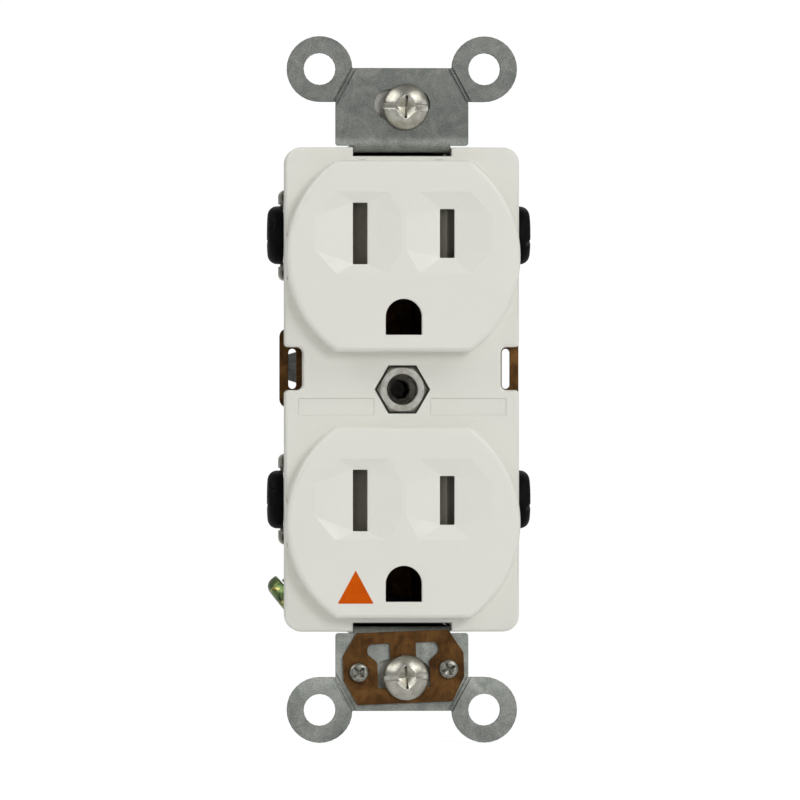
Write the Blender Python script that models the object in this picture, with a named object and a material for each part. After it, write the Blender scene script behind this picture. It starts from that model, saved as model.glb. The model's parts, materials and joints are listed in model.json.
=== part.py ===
"""Tamper-resistant duplex wall outlet with an isolated ground, built as its separate pieces.

The outlet stands as it is mounted: +Z is up, +X is to the right of someone facing it, and +Y points into the
wall. The origin is midway between the two box screws, on the rear face of the strap's ears, which lies against
the wall. Every size is in millimetres until world() scales it.
"""

import math

import bmesh
import bpy
from mathutils import Matrix, Vector

MM = 0.001
GAP = 0.3  # clearance between neighbouring pieces
OVER = 1.0  # how far a cutter runs past what it cuts
SLIVER = 0.002  # points closer than this are one point
SIDES = (-1, 1)  # left and right, or below and above

# Mounting strap, one steel strip folded round the body
STRAP = 1.3  # sheet thickness
STRAP_HALF = 7.1  # half width where it passes over the body
STRAP_REAR, STRAP_REAR_HALF, STRAP_REAR_HEIGHT = 25.2, 8.6, 33.5  # the wider stretch behind the body
WEB_OUT = 36.0  # outer face of the webs above and below the body
FOLD_RADIUS, REAR_FOLD_RADIUS, FOLD_LAP = 1.5, 1.7, 0.1
PLATE_HALF, PLATE_TOP, PLATE_FOOT, PLATE_CORNER = 9.72, 47.0, 35.65, 0.4
EAR_X, EAR_Z, EAR_RADIUS, EAR_HOLE = 12.05, 46.85, 4.8, 2.34
SCORE_TOP_X, SCORE_HALF, SCORE_DEPTH = 7.05, 0.38, 0.35  # the grooves along which an ear snaps off
SIDE_LUG_TIP_X, SIDE_LUG_TIP_Z, SIDE_LUG_ROOT_Z = -16.3, (1.6, 5.1), (-0.9, 7.4)  # a lug on the left, behind

# Box screws, captive washers and the slots they sit in
SCREW_HEIGHT, SLOT_HALF_LENGTH, SLOT_HALF_HEIGHT = 41.67, 4.1, 2.2
SCREW_SHIFT, SCREW_SAG = 0.55, 0.4  # each screw rests low in its slot, a little to the right
BOX_SCREW_HEAD, BOX_SCREW_HEAD_HEIGHT, BOX_SCREW_SHANK, BOX_SCREW_TIP = 3.4, 2.1, 1.7, 17.4
UPPER_SEAT, LOWER_SEAT = -1.6, -2.4
WASHER_RADIUS, WASHER_HOLE, WASHER_FRONT, WASHER_THICK = 4.7, 2.0, 0.35, 0.8

# Self-grounding clip on the lower plate, given from its own centre and slightly tilted
CLIP_CENTRE, CLIP_TILT = (0.2, -40.95), math.radians(2.2)
CLIP_FRONT, CLIP_BACK = -2.1, -1.6
CLIP_CORNERS = ((6.7, 5.6), (8.85, 2.2), (8.85, -1.3), (6.95, -4.9))
CLIP_WINDOW = ((-1.9, 3.9), (-1.9, -2.6), (-3.8, -2.6), (-3.8, 1.2, 0.6), (-5.2, 2.4, 0.5), (-5.2, 3.9, 0.8))
CLIP_SLOT_CENTRE, CLIP_SLOT_HALF_LENGTH = (0.22, -41.67), 3.65
RIVET_PLACE, RIVET_SHANK, RIVET_TAIL = (6.55, -0.15), 0.9, 2.2
RIVET_HEAD = ((0, 0.45), (1.1, 0.42), (1.42, 0.2), (1.42, 0))

# Face cover
FACE_FRONT, DECK_FRONT, DECK_BACK, SKIRT_BACK = -6.8, -2.2, -0.4, 4.2
COVER_HALF_WIDTH, COVER_HALF_HEIGHT, COVER_CORNER, COVER_WALL = 17.1, 35.4, 2.4, 1.6
STRAP_NOTCH_HALF, STRAP_NOTCH_FLOOR = 7.2, 34.1
FIN_NOTCH_X, FIN_NOTCH_LOW, FIN_NOTCH_HIGH, FIN_NOTCH_LIP, FIN_NOTCH_INNER = 14.43, -0.1, 6.2, 0.6, 0.9
OUTLET_Z = 19.45  # each outlet's centre above or below the middle
FACE_RADIUS, FACE_FLAT, FACE_WALL = 17.05, 13.95, 1.8
DECK_EDGE = ((0.5, 0), (0.15, 0.12), (0, 0.45))  # (behind the front, inset) of the rounded edge
FACE_EDGE = ((0.7, 0), (0.25, 0.18), (0, 0.75))
BLADE_X, BLADE_RISE = 6.35, 3.27  # blade slots, beside and above an outlet's centre
SLOT_HALF_WIDTH, NEUTRAL_SLOT, HOT_SLOT = 1.065, 8.95, 7.1
GROUND_DROP, GROUND_RADIUS, GROUND_FLAT = 8.9, 2.65, 2.6
GUIDE_DEPTH = 0.45
GUIDE_RIM = ((-6, -2.4), (-4.1, -5.8), (3.6, -5.8), (6.6, -2.4), (6.6, 2.6), (3.3, 6.1), (-4.2, 6.1), (-6, 2.6))
PANEL_X, PANEL_Z, PANEL_DEPTH = (4.15, 15.2), (-3.75, -1.3), 0.15  # the shallow label panels, left plain

# Assembly screws, from behind through the strap and the rear body into the cover's bosses
ASSEMBLY_X, ASSEMBLY_Z, ASSEMBLY_LENGTH = 5.6, 31.8, 24.0
ASSEMBLY_HEAD, ASSEMBLY_HEAD_HEIGHT, ASSEMBLY_SHANK, BOSS_RADIUS, BOSS_FLOOR = 2.1, 1.3, 1.05, 1.9, 1.0

# Hexagonal post for the cover plate's screw
HEX_FLATS, HEX_FRONT, HEX_BACK = 6.45, -2.0, 0.7
POST_RADIUS, POST_LEAD_RADIUS, POST_LEAD_END, POST_BOSS = 2.5, 2.17, 3.5, 5.4
POST_BORE, POST_BORE_END = 1.45, 21.0
POST_TAIL = ((3.3, 0), (3.3, 0.35), (2.7, 0.7), (0, 0.7))  # the riveted end behind the strap

# Rear body
BODY_FRONT, BODY_BACK, BODY_HALF_WIDTH, BODY_HALF_HEIGHT, BODY_CORNER = 4.5, 23.4, 15.8, 34.4, 1.6
CHEEK_X, CHEEK_Y, CHEEK_HEIGHT = (7.4, 9.2), (6.0, 9.0), 36.0  # shoulders on each side of the strap
CHANNEL_FLOOR, CHANNEL_BACK, CHANNEL_LOW, CHANNEL_HIGH = 12.85, 15.2, -23.4, 30.0
FIN_CUT_LOW, FIN_CUT_HIGH = -1.2, 7.3
POCKET_IN, POCKET_BACK, POCKET_HALF = 3.65, 16.2, 4.2
WIRE_ENTRY_X, WIRE_ENTRY_RISE, WIRE_ENTRY_RADIUS = 14.6, 4.3, 1.45

# Blade contacts and their terminals; the terminal faces are measured outwards from the centre plane
LEAF, JAW_HALF_HEIGHT = 0.7, 3.5
JAW_DEPTHS = (1.0, 4.5, 10.0)  # mouth, pinch and straight part
BLADE_JAW, JAW_BACK = (1.7, 0.6, 1.5), 15.8  # half openings at the mouth, the pinch and the straight part
TERMINAL_Y = 9.2
PLATE_IN, PLATE_OUT, TERMINAL_PLATE_FRONT, TERMINAL_PLATE_HALF = 13.2, 14.0, 5.2, 6.4
LINK_Y, LINK_TOP, LINK_BOTTOM = (7.0, 12.0), 6.6, -0.5
FIN_OUT, FIN_LOW, FIN_HIGH, FIN_Y, FIN_CORNER = 17.6, -2.65, 9.0, (7.6, 8.4), 1.2
FIN_SLOT_CENTRE, FIN_SLOT_HALF_LENGTH, FIN_SLOT_HALF_WIDTH = (15.72, 3.05), 2.95, 0.58
HEAD_SEAT = 17.05  # underside of a terminal screw's head
TERMINAL_HEAD, TERMINAL_HEAD_HEIGHT, TERMINAL_SHANK, TERMINAL_LENGTH = 4.27, 2.25, 2.1, 6.5
CLAMP_SHEET, CLAMP_FRONT, CLAMP_BACK, CLAMP_HALF = 0.55, -3.8, 5.2, 5.0
CLAMP_WING_IN, CLAMP_WING_OUT, CLAMP_WING_TOP, CLAMP_WING_LIP = 4.6, 6.7, 0.5, -1.15
CLAMP_WING_FRONT, CLAMP_BEND = 1.6, 0.9

# Isolated ground strip and its terminal, whose screw slants down to the left
GROUND_JAW, GROUND_LEAF, GROUND_JAW_HALF_HEIGHT, GROUND_BACK = (2.9, 2.06, 2.4), 0.6, 2.3, 19.0
STRIP_HALF, STRIP_THICK, RING_OUT, RING_IN, TRENCH_ROOM = 2.8, 0.8, 6.1, 4.3, 0.4
GROUND_ANGLE = math.radians(39.3)
GROUND_HEAD_CENTRE = (-15.38, TERMINAL_Y, -30.66)
GROUND_TAB_IN, GROUND_TAB_OUT, GROUND_TAB_HALF = -3.6, -2.8, 4.0
GROUND_CLAMP, GROUND_CLAMP_Z = ((-3.8, 4.6), (-3.0, 3.4)), (-1.2, -0.3)
GROUND_CORNER_Y, GROUND_CORNER_HALF = (-12, 20), 14  # the body's corner, cut off under the ground terminal
TAIL_ROOT_X, TAIL_TIP_HIGH_X, TAIL_TIP_LOW_X, TAIL_LOW, TAIL_HIGH = -2.6, -15.3, -12.9, -28.6, -25.6

# Shutters, their springs and carriers, given from the blades' line
SHUTTER_FRONT, SHUTTER_BACK, SHUTTER_TRAVEL = -4.7, -1.9, 2.6
SHUTTER_X, SHUTTER_HALF_HEIGHT = (-11.1, 7.95), 5.8
SHUTTER_WINDOW_HALF, SHUTTER_WINDOW_HALF_HEIGHT = 1.25, 4.8
RAMP_FOOT = 0.5  # thickness left at the bottom of a ramp
CARRIER_FRONT, CARRIER_BACK, CARRIER_INSET = -1.6, -0.6, 2.1
SPRING_LINE, SPRING_START, SPRING_END, SPRING_RADIUS, SPRING_WIRE = -3.3, 8.25, 12.55, 0.95, 0.15
SPRING_TURNS, SPRING_STEPS, SPRING_SIDES, SPRING_SEAT_RADIUS, SPRING_SEAT = 5.5, 10, 6, 1.45, 7.65
STOP_THICK, STOP_HALF_HEIGHT, STOP_FRONT = 0.8, 2.2, -4.6

# Screw heads as (across, up) fractions of their radius and height
DOME = ((0.0, 1.0), (0.3, 0.97), (0.6, 0.86), (0.85, 0.62), (0.97, 0.33), (1.0, 0.0))
PAN = ((0.0, 1.0), (0.67, 1.0), (0.84, 0.92), (0.95, 0.7), (1.0, 0.4), (1.0, 0.0))
TIP_CHAMFER = 0.5

MATERIALS = {
    "white_nylon": ((0.80, 0.80, 0.76), 0.38, 0.0),
    "black_nylon": ((0.03, 0.03, 0.032), 0.45, 0.0),
    "grey_shutter": ((0.16, 0.15, 0.13), 0.4, 0.0),
    "galvanised_steel": ((0.42, 0.44, 0.43), 0.42, 1.0),
    "nickel_steel": ((0.62, 0.60, 0.55), 0.22, 1.0),
    "spring_steel": ((0.55, 0.55, 0.55), 0.3, 1.0),
    "dull_brass": ((0.33, 0.20, 0.09), 0.42, 1.0),
    "black_oxide": ((0.02, 0.02, 0.02), 0.4, 0.3),
    "green_plated": ((0.10, 0.26, 0.10), 0.35, 0.8),
    "fibre": ((0.62, 0.60, 0.56), 0.8, 0.0),
}


# ---------------------------------------------------------------- outlines


def rounded(corners, steps=4):
    """Points round an outline of (u, v) or (u, v, radius) corners, with an arc at each rounded one."""
    points = []
    for index, corner in enumerate(corners):
        here = Vector(corner[:2])
        if len(corner) == 2:
            points.append(tuple(here))
            continue
        radius = corner[2]
        back = (Vector(corners[index - 1][:2]) - here).normalized()
        ahead = (Vector(corners[(index + 1) % len(corners)][:2]) - here).normalized()
        half = back.angle(ahead) / 2
        centre = here + (back + ahead).normalized() * radius / math.sin(half)
        first, last = (here + way * radius / math.tan(half) - centre for way in (back, ahead))
        turn = first.angle_signed(last)
        for step in range(steps + 1):
            arm = first.copy()
            arm.rotate(Matrix.Rotation(-turn * step / steps, 2))
            points.append(tuple(centre + arm))
    return points


def arc(centre, radius, start, end, steps):
    """Points along an arc, from one angle to another in degrees."""
    angles = [math.radians(start + (end - start) * k / steps) for k in range(steps + 1)]
    return [(centre[0] + radius * math.cos(a), centre[1] + radius * math.sin(a)) for a in angles]


def circle(centre, radius, steps=20):
    return arc(centre, radius, 0, 360, steps)[:-1]


def obround(centre, half_length, half_height, steps=7):
    """A slot with round ends, running along u."""
    reach = half_length - half_height
    right = arc((centre[0] + reach, centre[1]), half_height, -90, 90, steps)
    return right + arc((centre[0] - reach, centre[1]), half_height, 90, 270, steps)


def rectangle(u_low, u_high, v_low, v_high):
    return [(u_low, v_low), (u_high, v_low), (u_high, v_high), (u_low, v_high)]


def hexagon(flats):
    """A hexagon round the origin with flat sides above and below."""
    return circle((0, 0), flats / math.sqrt(3), 6)


def mirrored(points):
    """The outline's other half, in the order that closes it."""
    return [(-u, *rest) for u, *rest in reversed(points)]


def face_outline(centre_z, inset=0.0):
    """An outlet's face: a circle cut off flat above and below."""
    radius, flat = FACE_RADIUS - inset, FACE_FLAT - inset
    end = math.degrees(math.asin(flat / radius))
    right = arc((0, centre_z), radius, -end, end, 18)
    return right + arc((0, centre_z), radius, 180 - end, 180 + end, 18)


def cover_outline(inset=0.0):
    """The cover, with a notch for the strap at each end and one for the break-off fin on each side."""
    wide, high = COVER_HALF_WIDTH - inset, COVER_HALF_HEIGHT - inset
    floor, half = STRAP_NOTCH_FLOOR - inset, STRAP_NOTCH_HALF + inset
    notch_x, low, top = FIN_NOTCH_X - inset, FIN_NOTCH_LOW - inset, FIN_NOTCH_HIGH + inset
    corner = COVER_CORNER - inset
    right = [(half, -floor), (half, -high), (wide, -high, corner), (wide, low, FIN_NOTCH_LIP)]
    right += [(notch_x, low, FIN_NOTCH_INNER), (notch_x, top, FIN_NOTCH_INNER), (wide, top, FIN_NOTCH_LIP)]
    right += [(wide, high, corner), (half, high), (half, floor)]
    return rounded(right + mirrored(right))


# ---------------------------------------------------------------- solids


def world(points):
    return [Vector(point) * MM for point in points]


def object_of(mesh_builder):
    """A new object holding what the bmesh holds, with its faces pointing out."""
    bmesh.ops.recalc_face_normals(mesh_builder, faces=mesh_builder.faces)
    mesh = bpy.data.meshes.new("solid")
    mesh_builder.to_mesh(mesh)
    mesh_builder.free()
    made = bpy.data.objects.new("solid", mesh)
    bpy.context.scene.collection.objects.link(made)
    return made


def loft(rings):
    """A closed solid through rings of equally many points, capped at both ends."""
    builder = bmesh.new()
    rows = [[builder.verts.new(point) for point in world(ring)] for ring in rings]
    for lower, upper in zip(rows, rows[1:]):
        for index in range(len(lower)):
            after = (index + 1) % len(lower)
            builder.faces.new((lower[index], lower[after], upper[after], upper[index]))
    builder.faces.new(rows[0])
    builder.faces.new(rows[-1])
    return object_of(builder)


def extruded(outline, low, high, along="Y"):
    """An outline in (x, z) extruded along Y, or one in (y, z) along X, or one in (x, y) along Z."""
    place = {
        "X": lambda u, v, w: (w, u, v),
        "Y": lambda u, v, w: (u, w, v),
        "Z": lambda u, v, w: (u, v, w),
    }[along]
    return loft([[place(u, v, w) for u, v in outline] for w in (low, high)])


def stacked(outline_at, front, edge, back):
    """A solid from an (x, z) outline, with an edge of (depth, inset) steps up to its front."""
    levels = [(back, 0)] + [(front + depth, inset) for depth, inset in edge]
    return loft([[(u, y, v) for u, v in outline_at(inset)] for y, inset in levels])


def box(x, y, z):
    return extruded(rectangle(*x, *z), *y)


def post(centre, radius, low, high, steps=14):
    """A round solid along Y."""
    return extruded(circle(centre, radius, steps), low, high)


def hull(points):
    """The smallest convex solid round some points."""
    builder = bmesh.new()
    for point in world(points):
        builder.verts.new(point)
    bmesh.ops.convex_hull(builder, input=builder.verts)
    return object_of(builder)


def turned(profile, steps):
    """A solid of revolution about Z, from (radius, height) points that start and end on the axis."""
    builder = bmesh.new()
    rows = []
    for radius, height in profile:
        ring = circle((0, 0), radius, steps) if radius else [(0, 0)]
        rows.append([builder.verts.new(point) for point in world([(u, v, height) for u, v in ring])])
    for lower, upper in zip(rows, rows[1:]):
        for index in range(steps):
            after = (index + 1) % steps
            corners = [lower[index % len(lower)], lower[after % len(lower)]]
            corners += [upper[after % len(upper)], upper[index % len(upper)]]
            builder.faces.new(list(dict.fromkeys(corners)))
    return object_of(builder)


def combine(target, tool, operation):
    """Joins the tool to the target, or cuts it away, and removes the tool."""
    step = target.modifiers.new("combine", "BOOLEAN")
    step.operation = operation
    step.object = tool
    step.solver = "EXACT"
    bpy.context.view_layer.update()
    result = bpy.data.meshes.new_from_object(target.evaluated_get(bpy.context.evaluated_depsgraph_get()))
    target.modifiers.clear()
    spent = target.data
    target.data = result
    bpy.data.meshes.remove(spent)
    bpy.data.meshes.remove(tool.data)


def cut(target, *tools):
    for tool in tools:
        combine(target, tool, "DIFFERENCE")
    return target


def join(target, *tools):
    for tool in tools:
        combine(target, tool, "UNION")
    return target


def merged(made):
    """Closes the hairline slivers that a union leaves along flush faces."""
    builder = bmesh.new()
    builder.from_mesh(made.data)
    bmesh.ops.remove_doubles(builder, verts=builder.verts, dist=SLIVER * MM)
    bmesh.ops.dissolve_degenerate(builder, edges=builder.edges, dist=SLIVER * MM)
    builder.to_mesh(made.data)
    builder.free()
    return made


def placed(made, frame):
    """Turns and moves a solid by a frame before it is combined with anything."""
    made.data.transform(frame)
    return made


def frame_at(position, outward, side):
    """A frame whose Z points outwards and whose X points along side, at a position in millimetres."""
    z_axis, x_axis = Vector(outward).normalized(), Vector(side).normalized()
    turn = Matrix((x_axis, z_axis.cross(x_axis), z_axis)).transposed().to_4x4()
    return Matrix.Translation(Vector(position) * MM) @ turn


def raised(height):
    """A frame moved straight up."""
    return Matrix.Translation(Vector((0, 0, height * MM)))


def named(made, name, material, frame=None):
    """Gives a finished piece its name, its material and its place."""
    made.name = name
    made.data.name = name
    made.data.materials.clear()
    made.data.materials.append(bpy.data.materials[material])
    if frame is not None:
        made.matrix_world = frame
    return made


def smooth(made):
    made.data.shade_smooth()
    made.data.set_sharp_from_angle(angle=math.radians(35))
    return made


def make_materials():
    for name, (colour, roughness, metallic) in MATERIALS.items():
        made = bpy.data.materials.new(name)
        made.use_nodes = True
        shader = made.node_tree.nodes["Principled BSDF"]
        shader.inputs["Base Color"].default_value = (*colour, 1.0)
        shader.inputs["Roughness"].default_value = roughness
        shader.inputs["Metallic"].default_value = metallic


# ---------------------------------------------------------------- where repeated things are


def corner_places():
    """The assembly screws' centres in (x, z), with their names."""
    rows = (("upper", 1), ("lower", -1))
    columns = (("left", -1), ("right", 1))
    return {f"{row}_{column}": (x * ASSEMBLY_X, z * ASSEMBLY_Z) for row, z in rows for column, x in columns}


def outlets():
    """Each outlet's name and the height of its centre."""
    return (("upper", OUTLET_Z), ("lower", -OUTLET_Z))


def blade_heights():
    return [centre + BLADE_RISE for _, centre in outlets()]


def ground_heights():
    return [centre - GROUND_DROP for _, centre in outlets()]


def around(middle, half):
    return (middle - half, middle + half)


# ---------------------------------------------------------------- fasteners


def screw(head, head_radius, head_height, shank_radius, length, recess):
    """A screw with a crossed recess. Its head's underside is at the origin and its head points to +Z."""
    profile = [(head_radius * across, head_height * up) for across, up in head]
    profile += [(shank_radius, 0), (shank_radius, TIP_CHAMFER - length)]
    profile += [(shank_radius - TIP_CHAMFER, -length), (0, -length)]
    made = turned(profile, 16)
    half_width, half_length, depth = recess
    for across, along in ((half_width, half_length), (half_length, half_width)):
        cut(made, box((-across, across), (-along, along), (head_height - depth, head_height + OVER)))
    return smooth(made)


def box_screws():
    """The two screws that fasten the outlet to its box, and the washers that keep them captive."""
    for name, height, seat in (("upper", SCREW_HEIGHT, UPPER_SEAT), ("lower", -SCREW_HEIGHT, LOWER_SEAT)):
        x, z = SCREW_SHIFT, height - SCREW_SAG
        sizes = (BOX_SCREW_HEAD, BOX_SCREW_HEAD_HEIGHT, BOX_SCREW_SHANK, BOX_SCREW_TIP - seat)
        made = screw(DOME, *sizes, (0.5, 1.9, 1.1))
        named(made, f"{name}_box_screw", "nickel_steel", frame_at((x, seat, z), (0, -1, 0), (1, 0, 0)))
        washer = extruded(circle((0, 0), WASHER_RADIUS, 24), 0, WASHER_THICK, "Z")
        cut(washer, extruded(circle((0, 0), WASHER_HOLE), -OVER, WASHER_THICK + OVER, "Z"))
        frame = frame_at((x, WASHER_FRONT, z), (0, 1, 0), (1, 0, 0))
        named(washer, f"{name}_captive_washer", "fibre", frame)


def assembly_screws():
    """Four long screws that draw the strap, the rear body and the cover together."""
    for name, (x, z) in corner_places().items():
        sizes = (ASSEMBLY_HEAD, ASSEMBLY_HEAD_HEIGHT, ASSEMBLY_SHANK, ASSEMBLY_LENGTH)
        made = screw(DOME, *sizes, (0.35, 1.1, 0.7))
        frame = frame_at((x, STRAP_REAR + GAP, z), (0, 1, 0), (1, 0, 0))
        named(made, f"{name}_assembly_screw", "nickel_steel", frame)


# ---------------------------------------------------------------- strap and self-grounding clip


def ear_plate():
    """The strap's upper plate with its two break-off ears, relieved at its foot on each side of the fold."""
    foot = EAR_Z - EAR_RADIUS
    top_angle = 180 - math.degrees(math.asin((PLATE_TOP - EAR_Z) / EAR_RADIUS))
    corner = arc((PLATE_HALF - PLATE_CORNER, PLATE_FOOT + PLATE_CORNER), PLATE_CORNER, -90, 0, 3)
    relief, relief_top = STRAP_HALF - FOLD_LAP, WEB_OUT - STRAP + FOLD_RADIUS + FOLD_LAP
    right = [(relief, relief_top), (relief, PLATE_FOOT), *corner, (PLATE_HALF, foot)]
    right += arc((EAR_X, EAR_Z), EAR_RADIUS, -90, top_angle, 24)
    made = extruded(right + mirrored(right), -STRAP, 0)
    slot = obround((0, SCREW_HEIGHT), SLOT_HALF_LENGTH, SLOT_HALF_HEIGHT)
    cut(made, extruded(slot, -STRAP - OVER, OVER))
    for side in SIDES:
        cut(made, post((side * EAR_X, EAR_Z), EAR_HOLE, -STRAP - OVER, OVER, 20))
        start, end = Vector((side * SCORE_TOP_X, PLATE_TOP)), Vector((side * PLATE_HALF, foot))
        reach = (end - start).normalized() * PLATE_CORNER
        across = reach.orthogonal().normalized() * SCORE_HALF
        ends = (start - reach - across, end + reach - across, end + reach + across, start - reach + across)
        groove = [tuple(point) for point in ends]
        cut(made, extruded(groove, -STRAP - OVER, -STRAP + SCORE_DEPTH), extruded(groove, -SCORE_DEPTH, OVER))
    return made


def mounting_strap():
    """One strip: an ear plate, folded back over the body, down behind it, and out to the other ear plate."""
    web_in, rear_in, reach = WEB_OUT - STRAP, STRAP_REAR - STRAP, PLATE_FOOT + STRAP
    inside = [(-STRAP, reach), (-STRAP, web_in, FOLD_RADIUS), (rear_in, web_in)]
    inside += [(rear_in, -web_in), (-STRAP, -web_in, FOLD_RADIUS), (-STRAP, -reach)]
    outside = [(0, -reach), (0, -WEB_OUT), (STRAP_REAR, -WEB_OUT, REAR_FOLD_RADIUS)]
    outside += [(STRAP_REAR, WEB_OUT, REAR_FOLD_RADIUS), (0, WEB_OUT), (0, reach)]
    made = extruded(rounded(inside + outside), -STRAP_REAR_HALF, STRAP_REAR_HALF, "X")
    for side in SIDES:
        beside = sorted((side * STRAP_HALF, side * (STRAP_REAR_HALF + OVER)))
        for end in SIDES:
            beyond = sorted((end * STRAP_REAR_HEIGHT, end * (reach + OVER)))
            cut(made, box(beside, (-STRAP - OVER, STRAP_REAR + OVER), beyond))
    rear = (rear_in, STRAP_REAR)
    lug = [(GAP - STRAP_REAR_HALF, z) for z in SIDE_LUG_ROOT_Z[::-1]]
    lug += [(SIDE_LUG_TIP_X, z) for z in SIDE_LUG_TIP_Z]
    join(made, extruded(lug, *rear))
    merged(join(made, ear_plate(), placed(ear_plate(), Matrix.Rotation(math.pi, 4, "Y"))))
    cut(made, post((0, 0), POST_RADIUS + GAP, rear_in - OVER, STRAP_REAR + OVER, 20))
    for place in corner_places().values():
        cut(made, post(place, ASSEMBLY_SHANK + GAP, rear_in - OVER, STRAP_REAR + OVER))
    for side in SIDES:
        cut(made, post(rivet_centre(side), RIVET_SHANK + GAP, -STRAP - OVER, OVER))
    return named(made, "mounting_strap", "galvanised_steel")


def on_clip(u, v):
    """A point given from the clip's centre, turned by the clip's slight tilt."""
    cosine, sine = math.cos(CLIP_TILT), math.sin(CLIP_TILT)
    return (CLIP_CENTRE[0] + u * cosine - v * sine, CLIP_CENTRE[1] + u * sine + v * cosine)


def rivet_centre(side):
    return on_clip(side * RIVET_PLACE[0], RIVET_PLACE[1])


def self_grounding_clip():
    """The spring plate that bears on the lower box screw with the tongue between its two windows."""
    depth = (CLIP_FRONT - OVER, CLIP_BACK + OVER)
    corners = list(CLIP_CORNERS) + mirrored(CLIP_CORNERS)
    made = extruded([on_clip(u, v) for u, v in corners], CLIP_FRONT, CLIP_BACK)
    cut(made, extruded(obround(CLIP_SLOT_CENTRE, CLIP_SLOT_HALF_LENGTH, SLOT_HALF_HEIGHT), *depth))
    for side in SIDES:
        window = rounded([(side * u, *rest) for u, *rest in CLIP_WINDOW])
        cut(made, extruded([on_clip(u, v) for u, v in window], *depth))
        cut(made, post(rivet_centre(side), RIVET_SHANK + GAP, *depth))
    return named(made, "self_grounding_clip", "dull_brass")


def clip_rivets():
    """Two staked rivets that hold the clip. They end inside the strap, whose rear face stays flat."""
    for name, side in (("left", -1), ("right", 1)):
        x, z = rivet_centre(side)
        made = turned([*RIVET_HEAD, (RIVET_SHANK, 0), (RIVET_SHANK, -RIVET_TAIL), (0, -RIVET_TAIL)], 16)
        frame = frame_at((x, CLIP_FRONT - GAP, z), (0, -1, 0), (1, 0, 0))
        named(smooth(made), f"{name}_clip_rivet", "galvanised_steel", frame)


# ---------------------------------------------------------------- cover and post


def slot_outlines(centre_z):
    """The neutral, hot and ground openings of one outlet."""
    blade_z, ground_z = centre_z + BLADE_RISE, centre_z - GROUND_DROP
    neutral = rectangle(*around(-BLADE_X, SLOT_HALF_WIDTH), *around(blade_z, NEUTRAL_SLOT / 2))
    hot = rectangle(*around(BLADE_X, SLOT_HALF_WIDTH), *around(blade_z, HOT_SLOT / 2))
    ground = arc((0, ground_z), GROUND_RADIUS, 0, 180, 12)
    ground += [(-GROUND_RADIUS, ground_z - GROUND_FLAT), (GROUND_RADIUS, ground_z - GROUND_FLAT)]
    return neutral, hot, ground


def guide_recess(side, blade_z, slot_height):
    """The shallow faceted funnel that leads a blade into its slot."""
    middle = side * BLADE_X
    rim = [(middle + side * u, blade_z + v) for u, v in GUIDE_RIM]
    slot = rectangle(*around(middle, SLOT_HALF_WIDTH), *around(blade_z, slot_height / 2))
    points = [(u, FACE_FRONT, v) for u, v in rim] + [(u, FACE_FRONT - OVER, v) for u, v in rim]
    return hull(points + [(u, FACE_FRONT + GUIDE_DEPTH, v) for u, v in slot])


def face_cover():
    """The white front: a deck with two raised faces, a skirt, and bosses behind for the post and screws."""
    made = stacked(cover_outline, DECK_FRONT, DECK_EDGE, SKIRT_BACK)
    inside_front = FACE_FRONT + FACE_WALL
    for _, centre in outlets():
        join(made, stacked(lambda inset: face_outline(centre, inset), FACE_FRONT, FACE_EDGE, DECK_BACK - GAP))
    cut(made, extruded(cover_outline(COVER_WALL), DECK_BACK, SKIRT_BACK + OVER))
    for _, centre in outlets():
        cut(made, extruded(face_outline(centre, FACE_WALL), inside_front, DECK_BACK + GAP))
    join(made, post((0, 0), POST_BOSS, DECK_BACK - GAP, SKIRT_BACK, 24))
    for place in corner_places().values():
        join(made, post(place, BOSS_RADIUS, inside_front - GAP, SKIRT_BACK))
        cut(made, post(place, ASSEMBLY_SHANK + GAP, BOSS_FLOOR, SKIRT_BACK + OVER))
    cut(made, extruded(hexagon(HEX_FLATS + 2 * GAP), DECK_FRONT - OVER, HEX_BACK + GAP))
    cut(made, post((0, 0), POST_RADIUS + GAP, 0, SKIRT_BACK + OVER, 20))
    for _, centre in outlets():
        cut(made, guide_recess(-1, centre + BLADE_RISE, NEUTRAL_SLOT))
        cut(made, guide_recess(1, centre + BLADE_RISE, HOT_SLOT))
        for outline in slot_outlines(centre):
            cut(made, extruded(outline, FACE_FRONT - OVER, inside_front + OVER))
    for side in SIDES:
        panel = sorted(side * x for x in PANEL_X)
        cut(made, box(panel, (DECK_FRONT - OVER, DECK_FRONT + PANEL_DEPTH), PANEL_Z))
    return named(made, "face_cover", "white_nylon")


def hex_post():
    """The threaded post that a cover plate's screw enters. Its tail is riveted over the strap behind."""
    tail = STRAP_REAR + GAP
    profile = [(0, 0), (POST_RADIUS, 0), (POST_RADIUS, tail)] + [(r, tail + rise) for r, rise in POST_TAIL]
    made = placed(turned(profile, 20), frame_at((0, 0, 0), (0, 1, 0), (1, 0, 0)))
    join(made, extruded(hexagon(HEX_FLATS), HEX_FRONT, HEX_BACK))
    cut(made, post((0, 0), POST_LEAD_RADIUS, HEX_FRONT - OVER, POST_LEAD_END, 20))
    cut(made, post((0, 0), POST_BORE, POST_LEAD_END - OVER, POST_BORE_END, 16))
    return named(smooth(made), "cover_plate_hex_post", "nickel_steel")


# ---------------------------------------------------------------- rear body


def ground_frame():
    """At the underside of the ground screw's head: Z out along the screw, X into the wall."""
    outward = (-math.cos(GROUND_ANGLE), 0, -math.sin(GROUND_ANGLE))
    return frame_at(GROUND_HEAD_CENTRE, outward, (0, 1, 0))


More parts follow.
